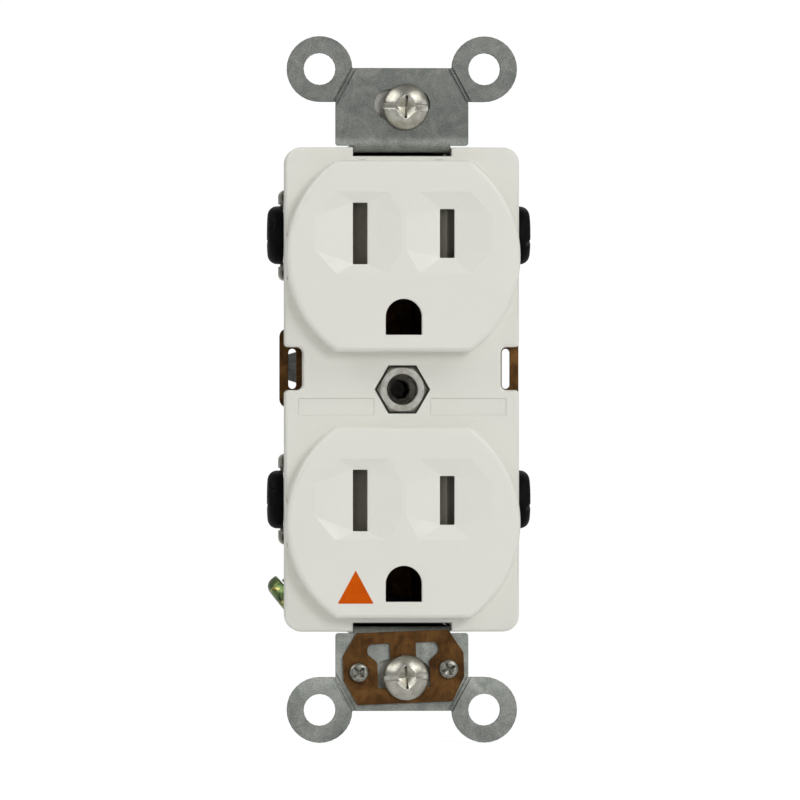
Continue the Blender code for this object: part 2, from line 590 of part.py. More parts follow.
def ground_trench():
    """The room for the isolated ground strip, round the post's sleeve."""
    front, back = BODY_FRONT - OVER, GROUND_BACK + TRENCH_ROOM
    jaw_half = GROUND_JAW[0] + GROUND_LEAF + TRENCH_ROOM
    upper, lower = ground_heights()
    room = GROUND_JAW_HALF_HEIGHT + TRENCH_ROOM
    made = box(around(0, STRIP_HALF + TRENCH_ROOM), (front, back), (lower - room, upper + room))
    for height in (upper, lower):
        join(made, box(around(0, jaw_half), (front, back), around(height, room + GAP)))
    join(made, post((0, 0), RING_OUT + TRENCH_ROOM, front, back, 24))
    return cut(made, post((0, 0), RING_IN - TRENCH_ROOM, front - OVER, back + OVER, 20))


def rear_body():
    """The black base: pockets for the contacts, side recesses for the terminals, and wire entries behind."""
    front = BODY_FRONT - OVER
    right = [(BODY_HALF_WIDTH, z, BODY_CORNER) for z in around(0, BODY_HALF_HEIGHT)]
    made = extruded(rounded(right + mirrored(right)), BODY_FRONT, BODY_BACK)
    for side in SIDES:
        cheek = sorted(side * x for x in CHEEK_X)
        join(made, box(cheek, CHEEK_Y, around(0, CHEEK_HEIGHT)))
        outside = sorted((side * CHANNEL_FLOOR, side * (BODY_HALF_WIDTH + OVER)))
        cut(made, box(outside, (front, CHANNEL_BACK), (CHANNEL_LOW, CHANNEL_HIGH)))
        cut(made, box(outside, (front, BODY_BACK + OVER), (FIN_CUT_LOW, FIN_CUT_HIGH)))
        for height in blade_heights():
            pocket = sorted((side * POCKET_IN, side * (PLATE_OUT + GAP)))
            cut(made, box(pocket, (front, POCKET_BACK), around(height, POCKET_HALF)))
            for level in around(height, WIRE_ENTRY_RISE):
                entry = (side * WIRE_ENTRY_X, level)
                cut(made, post(entry, WIRE_ENTRY_RADIUS, CHANNEL_BACK - OVER, BODY_BACK + OVER, 12))
    cut(made, ground_trench())
    tail = (TAIL_LOW - GAP, TAIL_HIGH + GAP)
    cut(made, box((-BODY_HALF_WIDTH - OVER, TAIL_ROOT_X + GAP), (front, GROUND_BACK + GAP), tail))
    corner = box(GROUND_CORNER_Y, around(0, GROUND_CORNER_HALF), (GROUND_TAB_IN - GAP, GROUND_CORNER_HALF))
    tip_room = extruded(circle((0, 0), TERMINAL_SHANK + TRENCH_ROOM), -TERMINAL_LENGTH - 2 * OVER, 0, "Z")
    cut(made, placed(corner, ground_frame()), placed(tip_room, ground_frame()))
    cut(made, post((0, 0), POST_RADIUS + GAP, front, BODY_BACK + OVER, 20))
    for place in corner_places().values():
        cut(made, post(place, ASSEMBLY_SHANK + GAP, front, BODY_BACK + OVER))
    return named(made, "rear_body", "black_nylon")


# ---------------------------------------------------------------- contacts


def jaw_outline(centre_x, half_openings, thickness, back):
    """A sprung U in (x, y), open to the front: it flares at the mouth and narrows at the pinch."""
    inner = list(zip(half_openings, JAW_DEPTHS))
    outer = [(opening + thickness, depth) for opening, depth in inner]
    straight = half_openings[-1]
    right = [(straight + thickness, back)] + outer[::-1] + inner + [(straight, back - thickness)]
    return [(centre_x + u, v) for u, v in right + mirrored(right)]


def contact_bus():
    """The right pair of blade contacts with their terminal plates, linked by the slotted break-off fin."""
    made = None
    for height in blade_heights():
        jaw_rows = around(height, JAW_HALF_HEIGHT)
        jaw = extruded(jaw_outline(BLADE_X, BLADE_JAW, LEAF, JAW_BACK), *jaw_rows, "Z")
        made = jaw if made is None else join(made, jaw)
        join(made, box((BLADE_X + BLADE_JAW[-1], PLATE_OUT), (JAW_BACK - LEAF, JAW_BACK), jaw_rows))
        plate_rows = around(height, TERMINAL_PLATE_HALF)
        join(made, box((PLATE_IN, PLATE_OUT), (TERMINAL_PLATE_FRONT, JAW_BACK - LEAF / 2), jaw_rows))
        join(made, box((PLATE_IN, PLATE_OUT), (TERMINAL_PLATE_FRONT, JAW_BACK - 2 * LEAF), plate_rows))
        near = LINK_TOP if height > 0 else LINK_BOTTOM
        join(made, box((PLATE_IN, PLATE_OUT), LINK_Y, sorted((near, height))))
    fin = [(PLATE_IN, FIN_LOW), (FIN_OUT, FIN_LOW, FIN_CORNER), (FIN_OUT, FIN_HIGH, FIN_CORNER)]
    join(made, extruded(rounded([*fin, (PLATE_IN, FIN_HIGH)]), *FIN_Y))
    upright = obround(FIN_SLOT_CENTRE[::-1], FIN_SLOT_HALF_LENGTH, FIN_SLOT_HALF_WIDTH)
    cut(made, extruded([(x, z) for z, x in upright], FIN_Y[0] - OVER, FIN_Y[1] + OVER))
    for height in blade_heights():
        hole = circle((TERMINAL_Y, height), TERMINAL_SHANK + GAP)
        cut(made, extruded(hole, PLATE_IN - OVER, PLATE_OUT + OVER, "X"))
    return made


def contact_buses():
    named(contact_bus(), "hot_contact_bus", "dull_brass")
    neutral = placed(contact_bus(), Matrix.Scale(-1, 4, (1, 0, 0)))
    neutral.data.flip_normals()
    named(neutral, "neutral_contact_bus", "dull_brass")


def isolated_ground_bus():
    """Both ground contacts on one strip, which rings the post, clear of it, and ends at its terminal."""
    strip = (GROUND_BACK - STRIP_THICK, GROUND_BACK)
    upper, lower = ground_heights()
    made = box(around(0, STRIP_HALF), strip, (lower - GROUND_JAW_HALF_HEIGHT, upper + GROUND_JAW_HALF_HEIGHT))
    join(made, post((0, 0), RING_OUT, *strip, 28))
    cut(made, post((0, 0), RING_IN, strip[0] - OVER, strip[1] + OVER, 24))
    for height in (upper, lower):
        outline = jaw_outline(0, GROUND_JAW, GROUND_LEAF, GROUND_BACK)
        join(made, extruded(outline, *around(height, GROUND_JAW_HALF_HEIGHT), "Z"))
    tail = [(TAIL_ROOT_X, TAIL_LOW), (TAIL_ROOT_X, TAIL_HIGH)]
    tail += [(TAIL_TIP_HIGH_X, TAIL_HIGH), (TAIL_TIP_LOW_X, TAIL_LOW)]
    join(made, extruded(tail, *strip))
    tab_y = (TERMINAL_PLATE_FRONT - TERMINAL_Y, GROUND_BACK - TERMINAL_Y)
    tab = box(tab_y, around(0, GROUND_TAB_HALF), (GROUND_TAB_IN, GROUND_TAB_OUT))
    join(made, placed(tab, ground_frame()))
    hole = extruded(circle((0, 0), TERMINAL_SHANK + GAP), GROUND_TAB_IN - OVER, GROUND_TAB_OUT + OVER, "Z")
    return named(cut(made, placed(hole, ground_frame())), "isolated_ground_bus", "dull_brass")


# ---------------------------------------------------------------- terminals


def terminal_clamp():
    """The pressure plate under a terminal screw, in the screw's frame: X into the wall, Z outwards.

    It is one bent sheet. Above and below the head its ends step out beside the head and turn back in.
    """
    high = -GAP
    low = high - CLAMP_SHEET
    made = box((CLAMP_FRONT, CLAMP_BACK), around(0, CLAMP_HALF), (low, high))
    step, end, under = CLAMP_WING_IN + CLAMP_SHEET, CLAMP_WING_OUT - CLAMP_SHEET, CLAMP_WING_TOP - CLAMP_SHEET
    wing = [(CLAMP_WING_IN, low), (step, low), (step, under), (end, under, CLAMP_BEND - CLAMP_SHEET)]
    wing += [(end, CLAMP_WING_LIP), (CLAMP_WING_OUT, CLAMP_WING_LIP)]
    wing += [(CLAMP_WING_OUT, CLAMP_WING_TOP, CLAMP_BEND), (CLAMP_WING_IN, CLAMP_WING_TOP)]
    for side in SIDES:
        outline = rounded([(side * u, *rest) for u, *rest in wing])
        join(made, extruded(outline, CLAMP_WING_FRONT, CLAMP_BACK, "X"))
    return cut(made, extruded(circle((0, 0), TERMINAL_SHANK + GAP), low - OVER, high + OVER, "Z"))


def terminal_screw():
    sizes = (TERMINAL_HEAD, TERMINAL_HEAD_HEIGHT, TERMINAL_SHANK, TERMINAL_LENGTH)
    return screw(PAN, *sizes, (0.55, 2.2, 1.2))


def terminals():
    """Hot terminals on the right and neutral on the left, each a screw with its pressure plate."""
    for pole, side, metal in (("hot", 1, "dull_brass"), ("neutral", -1, "nickel_steel")):
        for row, height in zip(("upper", "lower"), blade_heights()):
            frame = frame_at((side * HEAD_SEAT, TERMINAL_Y, height), (side, 0, 0), (0, 1, 0))
            named(terminal_screw(), f"{row}_{pole}_screw", "black_oxide", frame)
            named(terminal_clamp(), f"{row}_{pole}_clamp", metal, frame)
    named(terminal_screw(), "ground_screw", "green_plated", ground_frame())
    plate = box(*GROUND_CLAMP, GROUND_CLAMP_Z)
    low, high = GROUND_CLAMP_Z
    cut(plate, extruded(circle((0, 0), TERMINAL_SHANK + GAP), low - OVER, high + OVER, "Z"))
    named(plate, "ground_clamp", "dull_brass", ground_frame())


# ---------------------------------------------------------------- shutters


def shutter():
    """One block across both blade slots. Each slot rests over a ramp, and two blades together push the block
    right until the windows beside the ramps come under the slots. Its origin is between the blades."""
    made = box(SHUTTER_X, (SHUTTER_FRONT, SHUTTER_BACK), around(0, SHUTTER_HALF_HEIGHT))
    for slot in (-BLADE_X, BLADE_X):
        low, high = around(slot - SHUTTER_TRAVEL, SHUTTER_WINDOW_HALF)
        rows = around(0, SHUTTER_WINDOW_HALF_HEIGHT)
        cut(made, box((low, high), (SHUTTER_FRONT - OVER, SHUTTER_BACK + OVER), rows))
        foot, crest, clear = high - GAP, slot + SHUTTER_WINDOW_HALF, SHUTTER_FRONT - OVER
        ramp = [(foot, clear), (crest, clear), (crest, SHUTTER_FRONT), (foot, SHUTTER_BACK - RAMP_FOOT)]
        cut(made, extruded(ramp, *rows, "Z"))
    seat = extruded(circle((SPRING_LINE, 0), SPRING_SEAT_RADIUS, 14), SPRING_SEAT, SPRING_START + OVER, "X")
    return cut(made, seat)


def shutter_spring():
    """The compression spring between the block and its carrier, along X."""
    start, end = SPRING_START + SPRING_WIRE, SPRING_END - SPRING_WIRE
    count = int(SPRING_TURNS * SPRING_STEPS)
    along = Vector((1, 0, 0))
    rings = []
    for step in range(count + 1):
        angle = 2 * math.pi * step / SPRING_STEPS
        outward = Vector((0, math.cos(angle), math.sin(angle)))
        centre = along * (start + (end - start) * step / count) + outward * SPRING_RADIUS
        rings.append([centre + outward * u + along * v for u, v in circle((0, 0), SPRING_WIRE, SPRING_SIDES)])
    return smooth(loft(rings))


def shutter_carrier():
    """The inner plate that closes a face's hollow and holds the block and spring; its origin is the middle."""
    depth = (CARRIER_FRONT - OVER, CARRIER_BACK + OVER)
    made = extruded(face_outline(0, CARRIER_INSET), CARRIER_FRONT, CARRIER_BACK)
    stop = (SPRING_END + GAP, SPRING_END + GAP + STOP_THICK)
    join(made, box(stop, (STOP_FRONT, CARRIER_BACK), around(BLADE_RISE, STOP_HALF_HEIGHT)))
    for slot in (-BLADE_X, BLADE_X):
        blade = around(slot, SLOT_HALF_WIDTH + TRENCH_ROOM)
        cut(made, box(blade, depth, around(BLADE_RISE, NEUTRAL_SLOT / 2 + TRENCH_ROOM)))
    pin = GROUND_RADIUS + TRENCH_ROOM
    cut(made, box(around(0, pin), depth, around(-GROUND_DROP, pin)))
    for x in (-ASSEMBLY_X, ASSEMBLY_X):
        for z in around(0, ASSEMBLY_Z - OUTLET_Z):
            cut(made, post((x, z), BOSS_RADIUS + TRENCH_ROOM, *depth))
    return made


def shutters():
    for name, centre in outlets():
        blades = centre + BLADE_RISE
        named(shutter(), f"{name}_shutter", "grey_shutter", raised(blades))
        spring = Matrix.Translation(Vector((0, SPRING_LINE, 0)) * MM) @ raised(blades)
        named(shutter_spring(), f"{name}_shutter_spring", "spring_steel", spring)
        named(shutter_carrier(), f"{name}_shutter_carrier", "black_nylon", raised(centre))


def clear_scene():
    for old in list(bpy.data.objects):
        bpy.data.objects.remove(old)


def main():
    clear_scene()
    make_materials()
    face_cover()
    rear_body()
    mounting_strap()
    self_grounding_clip()
    clip_rivets()
    hex_post()
    contact_buses()
    isolated_ground_bus()
    terminals()
    shutters()
    box_screws()
    assembly_screws()


main()
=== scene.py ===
"""Looks for the duplex wall outlet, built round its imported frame.

Sizes are in millimetres until MM scales them. Those of the lights and the camera's distance are in metres.
"""

import json
import math

import bmesh
import bpy
from mathutils import Matrix, Vector


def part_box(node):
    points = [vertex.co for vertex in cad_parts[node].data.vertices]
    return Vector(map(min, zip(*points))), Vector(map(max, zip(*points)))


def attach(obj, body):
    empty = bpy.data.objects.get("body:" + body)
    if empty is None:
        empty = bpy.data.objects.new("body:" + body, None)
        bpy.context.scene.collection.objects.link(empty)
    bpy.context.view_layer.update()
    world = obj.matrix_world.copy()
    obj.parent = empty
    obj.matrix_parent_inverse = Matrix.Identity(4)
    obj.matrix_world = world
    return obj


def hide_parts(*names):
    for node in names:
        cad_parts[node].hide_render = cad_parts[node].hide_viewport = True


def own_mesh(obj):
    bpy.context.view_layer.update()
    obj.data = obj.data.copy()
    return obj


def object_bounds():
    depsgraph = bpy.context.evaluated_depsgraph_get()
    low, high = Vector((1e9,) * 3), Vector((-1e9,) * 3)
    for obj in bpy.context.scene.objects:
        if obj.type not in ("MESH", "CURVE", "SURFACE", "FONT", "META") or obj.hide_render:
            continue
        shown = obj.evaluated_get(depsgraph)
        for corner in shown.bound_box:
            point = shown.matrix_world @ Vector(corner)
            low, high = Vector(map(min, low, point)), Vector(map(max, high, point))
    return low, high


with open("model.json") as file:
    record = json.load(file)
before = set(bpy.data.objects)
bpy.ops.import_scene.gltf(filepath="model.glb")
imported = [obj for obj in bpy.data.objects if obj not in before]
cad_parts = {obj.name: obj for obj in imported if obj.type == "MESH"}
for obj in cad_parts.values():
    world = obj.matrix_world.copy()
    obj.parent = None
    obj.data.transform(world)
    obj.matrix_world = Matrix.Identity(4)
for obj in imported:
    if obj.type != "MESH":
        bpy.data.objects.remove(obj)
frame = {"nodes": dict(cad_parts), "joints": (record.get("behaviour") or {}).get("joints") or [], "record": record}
CAD_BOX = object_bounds()
JOINTS = {joint["name"]: joint for joint in frame["joints"]}

MM = 0.001
GAP = 0.3  # a small overlap or clearance
OVER = 1.0  # how far a cutter reaches past what it cuts
MERGED, FLAT = 0.002, 0.4  # millimetres between two points, and degrees between two faces, that count as one
PITCH = 0.794  # of a 6-32 thread
SIDES = (-1, 1)
ROWS = ("upper", "lower")
RIGHT, INTO_WALL, TO_VIEWER = (1, 0, 0), (0, 1, 0), (0, -1, 0)


def low_high(node):
    """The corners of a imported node's box, in millimetres."""
    low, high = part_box(node)
    return [value / MM for value in low], [value / MM for value in high]


def centre_of(low, high):
    return [(a + b) / 2 for a, b in zip(low, high)]


# ---------------------------------------------------------------- outlines


def rounded(corners, steps=8):
    """Points round an outline of (u, v) or (u, v, radius) corners, with an arc at each rounded one."""
    points = []
    for index, corner in enumerate(corners):
        here = Vector(corner[:2])
        if len(corner) == 2:
            points.append(tuple(here))
            continue
        radius = corner[2]
        back = (Vector(corners[index - 1][:2]) - here).normalized()
        ahead = (Vector(corners[(index + 1) % len(corners)][:2]) - here).normalized()
        half = back.angle(ahead) / 2
        centre = here + (back + ahead).normalized() * radius / math.sin(half)
        first, last = (here + way * radius / math.tan(half) - centre for way in (back, ahead))
        turn = first.angle_signed(last)
        for step in range(steps + 1):
            arm = first.copy()
            arm.rotate(Matrix.Rotation(-turn * step / steps, 2))
            points.append(tuple(centre + arm))
    return points


def arc(centre, radius, start, end, steps):
    """Points along an arc, from one angle to another in degrees."""
    angles = [math.radians(start + (end - start) * k / steps) for k in range(steps + 1)]
    return [(centre[0] + radius * math.cos(a), centre[1] + radius * math.sin(a)) for a in angles]


def circle(centre, radius, steps=48):
    return arc(centre, radius, 0, 360, steps)[:-1]


def rectangle(u_low, u_high, v_low, v_high):
    return [(u_low, v_low), (u_high, v_low), (u_high, v_high), (u_low, v_high)]


def around(middle, half):
    """The (low, high) stretch that reaches as far on both sides of its middle."""
    return (middle - half, middle + half)


def on_side(side, near, far):
    """The (low, high) stretch between two distances, on one side of zero."""
    return sorted((side * near, side * far))


def mirrored(points):
    """The outline's other half, in the order that closes it."""
    return [(-u, *rest) for u, *rest in reversed(points)]


def quarter(radius, steps):
    """(depth, inset) steps of a quarter-round edge, from the side to the front."""
    angles = [math.pi / 2 * k / steps for k in range(steps + 1)]
    return [(radius * (1 - math.sin(a)), radius * (1 - math.cos(a))) for a in angles]


# ---------------------------------------------------------------- solids


def object_of(builder, name="solid"):
    bmesh.ops.recalc_face_normals(builder, faces=builder.faces)
    mesh = bpy.data.meshes.new(name)
    builder.to_mesh(mesh)
    builder.free()
    made = bpy.data.objects.new(name, mesh)
    bpy.context.scene.collection.objects.link(made)
    return made


def loft(rings):
    """A closed solid through rings of equally many points, or of one point at an end."""
    builder = bmesh.new()
    rows = [[builder.verts.new(Vector(point) * MM) for point in ring] for ring in rings]
    for lower, upper in zip(rows, rows[1:]):
        count = max(len(lower), len(upper))
        for index in range(count):
            after = (index + 1) % count
            corners = [lower[index % len(lower)], lower[after % len(lower)]]
            corners += [upper[after % len(upper)], upper[index % len(upper)]]
            builder.faces.new(list(dict.fromkeys(corners)))
    for row in (rows[0], rows[-1]):
        if len(row) > 2:
            builder.faces.new(row)
    return object_of(builder)


def extruded(outline, low, high, along="Y"):
    """An outline in (x, z) extruded along Y, or one in (y, z) along X, or one in (x, y) along Z."""
    place = {
        "X": lambda u, v, w: (w, u, v),
        "Y": lambda u, v, w: (u, w, v),
        "Z": lambda u, v, w: (u, v, w),
    }[along]
    return loft([[place(u, v, w) for u, v in outline] for w in (low, high)])


def stacked(outline_at, front, edge, back):
    """A solid from an (x, z) outline, with an edge of (depth, inset) steps up to its front."""
    levels = [(back, 0)] + [(front + depth, inset) for depth, inset in edge]
    return loft([[(u, y, v) for u, v in outline_at(inset)] for y, inset in levels])


def box(x, y, z):
    """A block between the (low, high) stretches given for each axis."""
    return extruded(rectangle(*x, *z), *y)


def post(centre, radius, low, high, steps=48):
    """A round bar along Y."""
    return extruded(circle(centre, radius, steps), low, high)


def hull(points):
    builder = bmesh.new()
    for point in points:
        builder.verts.new(Vector(point) * MM)
    bmesh.ops.convex_hull(builder, input=builder.verts)
    return object_of(builder)


def turned(profile, steps=72):
    """A solid of revolution about Z, from (radius, height) points.

    A radius may be a function of the share of a turn.
    """
    rings = []
    for radius, height in profile:
        if not callable(radius) and radius < 1e-6:
            rings.append([(0, 0, height)])
            continue
        ring = []
        for step in range(steps):
            share = step / steps
            reach = radius(share) if callable(radius) else radius
            angle = 2 * math.pi * share
            ring.append((reach * math.cos(angle), reach * math.sin(angle), height))
        rings.append(ring)
    return loft(rings)


def combine(target, tool, operation):
    """Adds a solid to the target or takes it away, and uses it up."""
    step = target.modifiers.new("combine", "BOOLEAN")
    step.operation = operation
    step.object = tool
    step.solver = "EXACT"
    bpy.context.view_layer.update()
    result = bpy.data.meshes.new_from_object(target.evaluated_get(bpy.context.evaluated_depsgraph_get()))
    target.modifiers.clear()
    spent = target.data
    target.data = result
    bpy.data.meshes.remove(spent)
    bpy.data.meshes.remove(tool.data)


def cut(target, *tools):
    for tool in tools:
        combine(target, tool, "DIFFERENCE")
    return target


def join(target, *tools):
    for tool in tools:
        combine(target, tool, "UNION")
    return target


def placed(made, transform):
    made.data.transform(transform)
    return made


def axes_at(position, outward, side):
    """Axes whose Z points outwards and whose X points along side, at a position in millimetres."""
    z_axis, x_axis = Vector(outward).normalized(), Vector(side).normalized()
    turn = Matrix((x_axis, z_axis.cross(x_axis), z_axis)).transposed().to_4x4()
    return Matrix.Translation(Vector(position) * MM) @ turn


def cleaned(made):
    """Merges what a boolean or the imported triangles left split, without changing the shape."""
    builder = bmesh.new()
    builder.from_mesh(made.data)
    bmesh.ops.remove_doubles(builder, verts=builder.verts, dist=MERGED * MM)
    bmesh.ops.dissolve_limit(
        builder, angle_limit=math.radians(FLAT), use_dissolve_boundaries=False, verts=builder.verts,
        edges=builder.edges,
    )
    builder.to_mesh(made.data)
    builder.free()
    return made


def softened(made, width, segments=3, angle=32):
    """Rounds every edge sharper than the angle, and shades the rest smooth. With no width, it only shades."""
    made.data.shade_smooth()
    if width:
        bevel = made.modifiers.new("edges", "BEVEL")
        bevel.width = width * MM
        bevel.segments = segments
        bevel.limit_method = "ANGLE"
        bevel.angle_limit = math.radians(angle)
        bevel.use_clamp_overlap = False
        bevel.miter_outer = "MITER_ARC"
    normals = made.modifiers.new("normals", "WEIGHTED_NORMAL")
    normals.keep_sharp = True
    normals.mode = "FACE_AREA"
    return made


def copy_of(node):
    """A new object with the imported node's shape, its flat faces whole again."""
    mesh = frame["nodes"][node].data.copy()
    made = bpy.data.objects.new(node + "_fine", mesh)
    bpy.context.scene.collection.objects.link(made)
    if made.data.has_custom_normals:
        bpy.context.view_layer.objects.active = made
        bpy.ops.mesh.customdata_custom_splitnormals_clear()
    return cleaned(made)


# ---------------------------------------------------------------- materials


class Paint:
    """Builds one procedural material, node by node."""

    def __init__(self, name, roughness, metallic=0.0, **sockets):
        self.made = bpy.data.materials.new(name)
        self.made.use_nodes = True
        self.tree = self.made.node_tree
        self.shader = self.tree.nodes["Principled BSDF"]
        self.shader.inputs["Roughness"].default_value = roughness
        self.shader.inputs["Metallic"].default_value = metallic
        for socket, value in sockets.items():
            self.shader.inputs[socket.replace("_", " ")].default_value = value
        self.coordinates = self.tree.nodes.new("ShaderNodeTexCoord").outputs["Object"]

    def node(self, kind, inputs=(), **settings):
        """A new shader node, with a value or a link for each input given."""
        made = self.tree.nodes.new("ShaderNode" + kind)
        for key, value in settings.items():
            setattr(made, key, value)
        for key, value in dict(inputs).items():
            if isinstance(value, bpy.types.NodeSocket):
                self.tree.links.new(value, made.inputs[key])
            else:
                made.inputs[key].default_value = value
        return made

    def stretched(self, scale):
        """Object coordinates, scaled more or less along each axis."""
        return self.node("Mapping", {"Vector": self.coordinates, "Scale": scale}).outputs["Vector"]

    def noise(self, size, detail=3.0, rough=0.5, vector=None, distortion=0.0):
        """Noise whose features are about this many millimetres wide."""
        values = {
            "Vector": vector or self.coordinates, "Scale": 1 / (size * MM), "Detail": detail,
            "Roughness": rough, "Distortion": distortion,
        }
        return self.node("TexNoise", values).outputs["Fac"]

    def cells(self, size):
        """A random colour for each of many cells, which are about this many millimetres wide."""
        values = {"Vector": self.coordinates, "Scale": 1 / (size * MM)}
        return self.node("TexVoronoi", values).outputs["Color"]

    def ramp(self, factor, *stops):
        """Colours or numbers at places along a factor."""
        made = self.node("ValToRGB", {"Fac": factor})
        elements = made.color_ramp.elements
        while len(elements) < len(stops):
            elements.new(0.5)
        for element, (place, colour) in zip(elements, stops):
            element.position = place
            element.color = (*colour, 1) if isinstance(colour, tuple) else (colour, colour, colour, 1)
        return made.outputs["Color"]

    def mixed(self, factor, first, second, blend="MIX"):
        """Two colours, blended by a factor."""
        made = self.node("Mix", data_type="RGBA", blend_type=blend)
        for socket, value in zip(("Factor_Float", "A_Color", "B_Color"), (factor, first, second)):
            target = next(s for s in made.inputs if s.identifier == socket)
            if isinstance(value, bpy.types.NodeSocket):
                self.tree.links.new(value, target)
            else:
                target.default_value = (*value, 1) if isinstance(value, tuple) else value
        return next(s for s in made.outputs if s.identifier == "Result_Color")

    def colour(self, value):
        self.tree.links.new(value, self.shader.inputs["Base Color"])
        return self

    def rough(self, value):
        self.tree.links.new(value, self.shader.inputs["Roughness"])
        return self

    def bumps(self, *layers):
        """(height, depth in millimetres) layers of surface relief."""
        normal = None
        for height, depth in layers:
            values = {"Height": height, "Strength": 1.0, "Distance": depth * MM}
            if normal is not None:
                values["Normal"] = normal
            normal = self.node("Bump", values).outputs["Normal"]
        self.tree.links.new(normal, self.shader.inputs["Normal"])
        return self


def srgb(*levels):
    """A display colour, 0 to 255, as linear light."""
    values = [level / 255 for level in levels]
    return tuple(v / 12.92 if v <= 0.04045 else ((v + 0.055) / 1.055) ** 2.4 for v in values)


def scaled(colour, factor):
    """A colour made lighter or darker, up to white."""
    return tuple(min(1.0, channel * factor) for channel in colour)


def nylon(name, colour, spread, roughness, relief=0.006):
    """A moulded plastic: faint flow marks, a fine grain and small changes of gloss."""
    paint = Paint(name, roughness)
    flow = paint.noise(9.0, 4.0, 0.55, distortion=0.6)
    grain = paint.noise(0.35, 2.0)
    tone = paint.ramp(flow, (0.3, scaled(colour, 1 - spread)), (0.7, scaled(colour, 1 + spread)))
    speck = paint.ramp(grain, (0.35, scaled(colour, 1 - spread * 1.5)), (0.65, scaled(colour, 1 + spread)))
    paint.colour(paint.mixed(0.35, tone, speck))
    paint.rough(paint.ramp(paint.noise(2.2, 4.0), (0.3, roughness - 0.05), (0.7, roughness + 0.06)))
    return paint.bumps((paint.noise(0.22, 2.0), relief), (flow, relief * 4)).made


STRIP_HALF_LENGTH = 52.0
STRIP_PAINTED_LIGHT = (  # (share of the way up, half the factor of painted light and shade along the strip)
    (0.02, 0.56), (0.06, 0.62), (0.09, 0.84), (0.16, 0.82), (0.5, 0.5),
    (0.82, 0.6), (0.835, 0.72), (0.848, 0.7), (0.856, 0.4), (0.97, 0.48),
)


def galvanised(name):
    """Hot-dipped steel: dull crystals of zinc in slightly different greys, with grit, stains and rubs.

    The tones set along the strip are painted light and shade: the lower plate is painted lighter than the upper
    one, and the upper fold carries a painted highlight.
    """
    paint = Paint(name, 0.5, metallic=0.5)
    value = paint.node("SeparateColor", {"Color": paint.cells(1.3)}).outputs["Red"]
    grit = paint.noise(0.22, 4.0, 0.65)
    cloud = paint.noise(3.2, 5.0, 0.65, distortion=0.9)
    crystals = paint.ramp(value, (0.0, srgb(108, 113, 109)), (1.0, srgb(140, 143, 138)))
    stains = (0.28, srgb(96, 100, 96)), (0.5, srgb(122, 125, 120)), (0.75, srgb(150, 152, 146))
    mottled = paint.mixed(0.7, crystals, paint.ramp(cloud, *stains))
    speckled = paint.ramp(grit, (0.3, 0.62), (0.5, 1.0), (0.72, 1.3))
    worn = paint.mixed(1.0, mottled, speckled, "MULTIPLY")
    # painted light and shade: a tone by height multiplies the colour, lighter on the lower plate, with a painted
    # highlight at the upper fold
    height = paint.node("SeparateXYZ", {"Vector": paint.coordinates}).outputs["Z"]
    ends = {"Value": height, "From Min": -STRIP_HALF_LENGTH * MM, "From Max": STRIP_HALF_LENGTH * MM}
    tone = paint.ramp(paint.node("MapRange", ends).outputs["Result"], *STRIP_PAINTED_LIGHT)
    painted_light_factor = paint.node("VectorMath", {0: tone, 1: (2.0, 2.0, 2.0)}, operation="MULTIPLY").outputs[0]
    paint.colour(paint.mixed(1.0, worn, painted_light_factor, "MULTIPLY"))
    paint.rough(paint.ramp(grit, (0.3, 0.38), (0.7, 0.56)))
    return paint.bumps((grit, 0.03), (value, 0.012), (cloud, 0.06)).made


def tarnished(name, light, dark, roughness=0.45, metallic=0.85):
    """Brass gone brown: uneven dark clouds, fine rolling lines and a few brighter rubs."""
    paint = Paint(name, roughness, metallic=metallic)
    cloud = paint.noise(2.4, 5.0, 0.6, distortion=0.7)
    lines = paint.noise(0.4, 3.0, 0.6, vector=paint.stretched((1, 1, 0.12)))
    base = paint.ramp(cloud, (0.3, dark), (0.7, light))
    streak = paint.ramp(lines, (0.3, 0.8), (0.7, 1.15))
    paint.colour(paint.mixed(1.0, base, streak, "MULTIPLY"))
    paint.rough(paint.ramp(cloud, (0.3, roughness + 0.12), (0.7, roughness - 0.05)))
    return paint.bumps((paint.noise(0.15, 3.0), 0.01), (lines, 0.008)).made


def plated(name, colour, warm, roughness):
    """A plated fastener: slight stains and rubbed spots."""
    paint = Paint(name, roughness, metallic=1.0)
    stain = paint.noise(1.1, 4.0, 0.6, distortion=0.5)
    paint.colour(paint.ramp(stain, (0.32, warm), (0.6, colour), (0.85, scaled(colour, 1.08))))
    paint.rough(paint.ramp(stain, (0.3, roughness + 0.08), (0.75, roughness - 0.03)))
    return paint.bumps((stain, 0.006)).made


def blackened(name):
    """A black oxide or lacquer finish on steel."""
    paint = Paint(name, 0.5, Specular_IOR_Level=0.06)
    cloud = paint.noise(1.5, 4.0, 0.6)
    grit = paint.noise(0.12, 2.0)
    paint.colour(paint.ramp(cloud, (0.3, (0.002, 0.002, 0.002)), (0.7, (0.005, 0.005, 0.006))))
    paint.rough(paint.ramp(grit, (0.3, 0.42), (0.7, 0.58)))
    return paint.bumps((grit, 0.006), (cloud, 0.02)).made


def green_dyed(name):
    """Green-dyed yellow plating in uneven patches; the gold patches stand both for plating where the dye is thin
    and for painted gold glints.
    """
    paint = Paint(name, 0.28, metallic=0.9)
    cloud = paint.noise(0.9, 4.0, 0.6, distortion=0.6)
    grit = paint.noise(0.15, 3.0)
    green, deep, gold_glint = srgb(104, 128, 80), srgb(52, 62, 34), srgb(206, 188, 112)
    # painted glints: the gold stop of this ramp also stands for gold highlights on the head
    paint.colour(paint.ramp(cloud, (0.3, deep), (0.46, green), (0.56, green), (0.66, gold_glint)))
    paint.rough(paint.ramp(grit, (0.3, 0.22), (0.7, 0.38)))
    return paint.bumps((grit, 0.006), (cloud, 0.012)).made


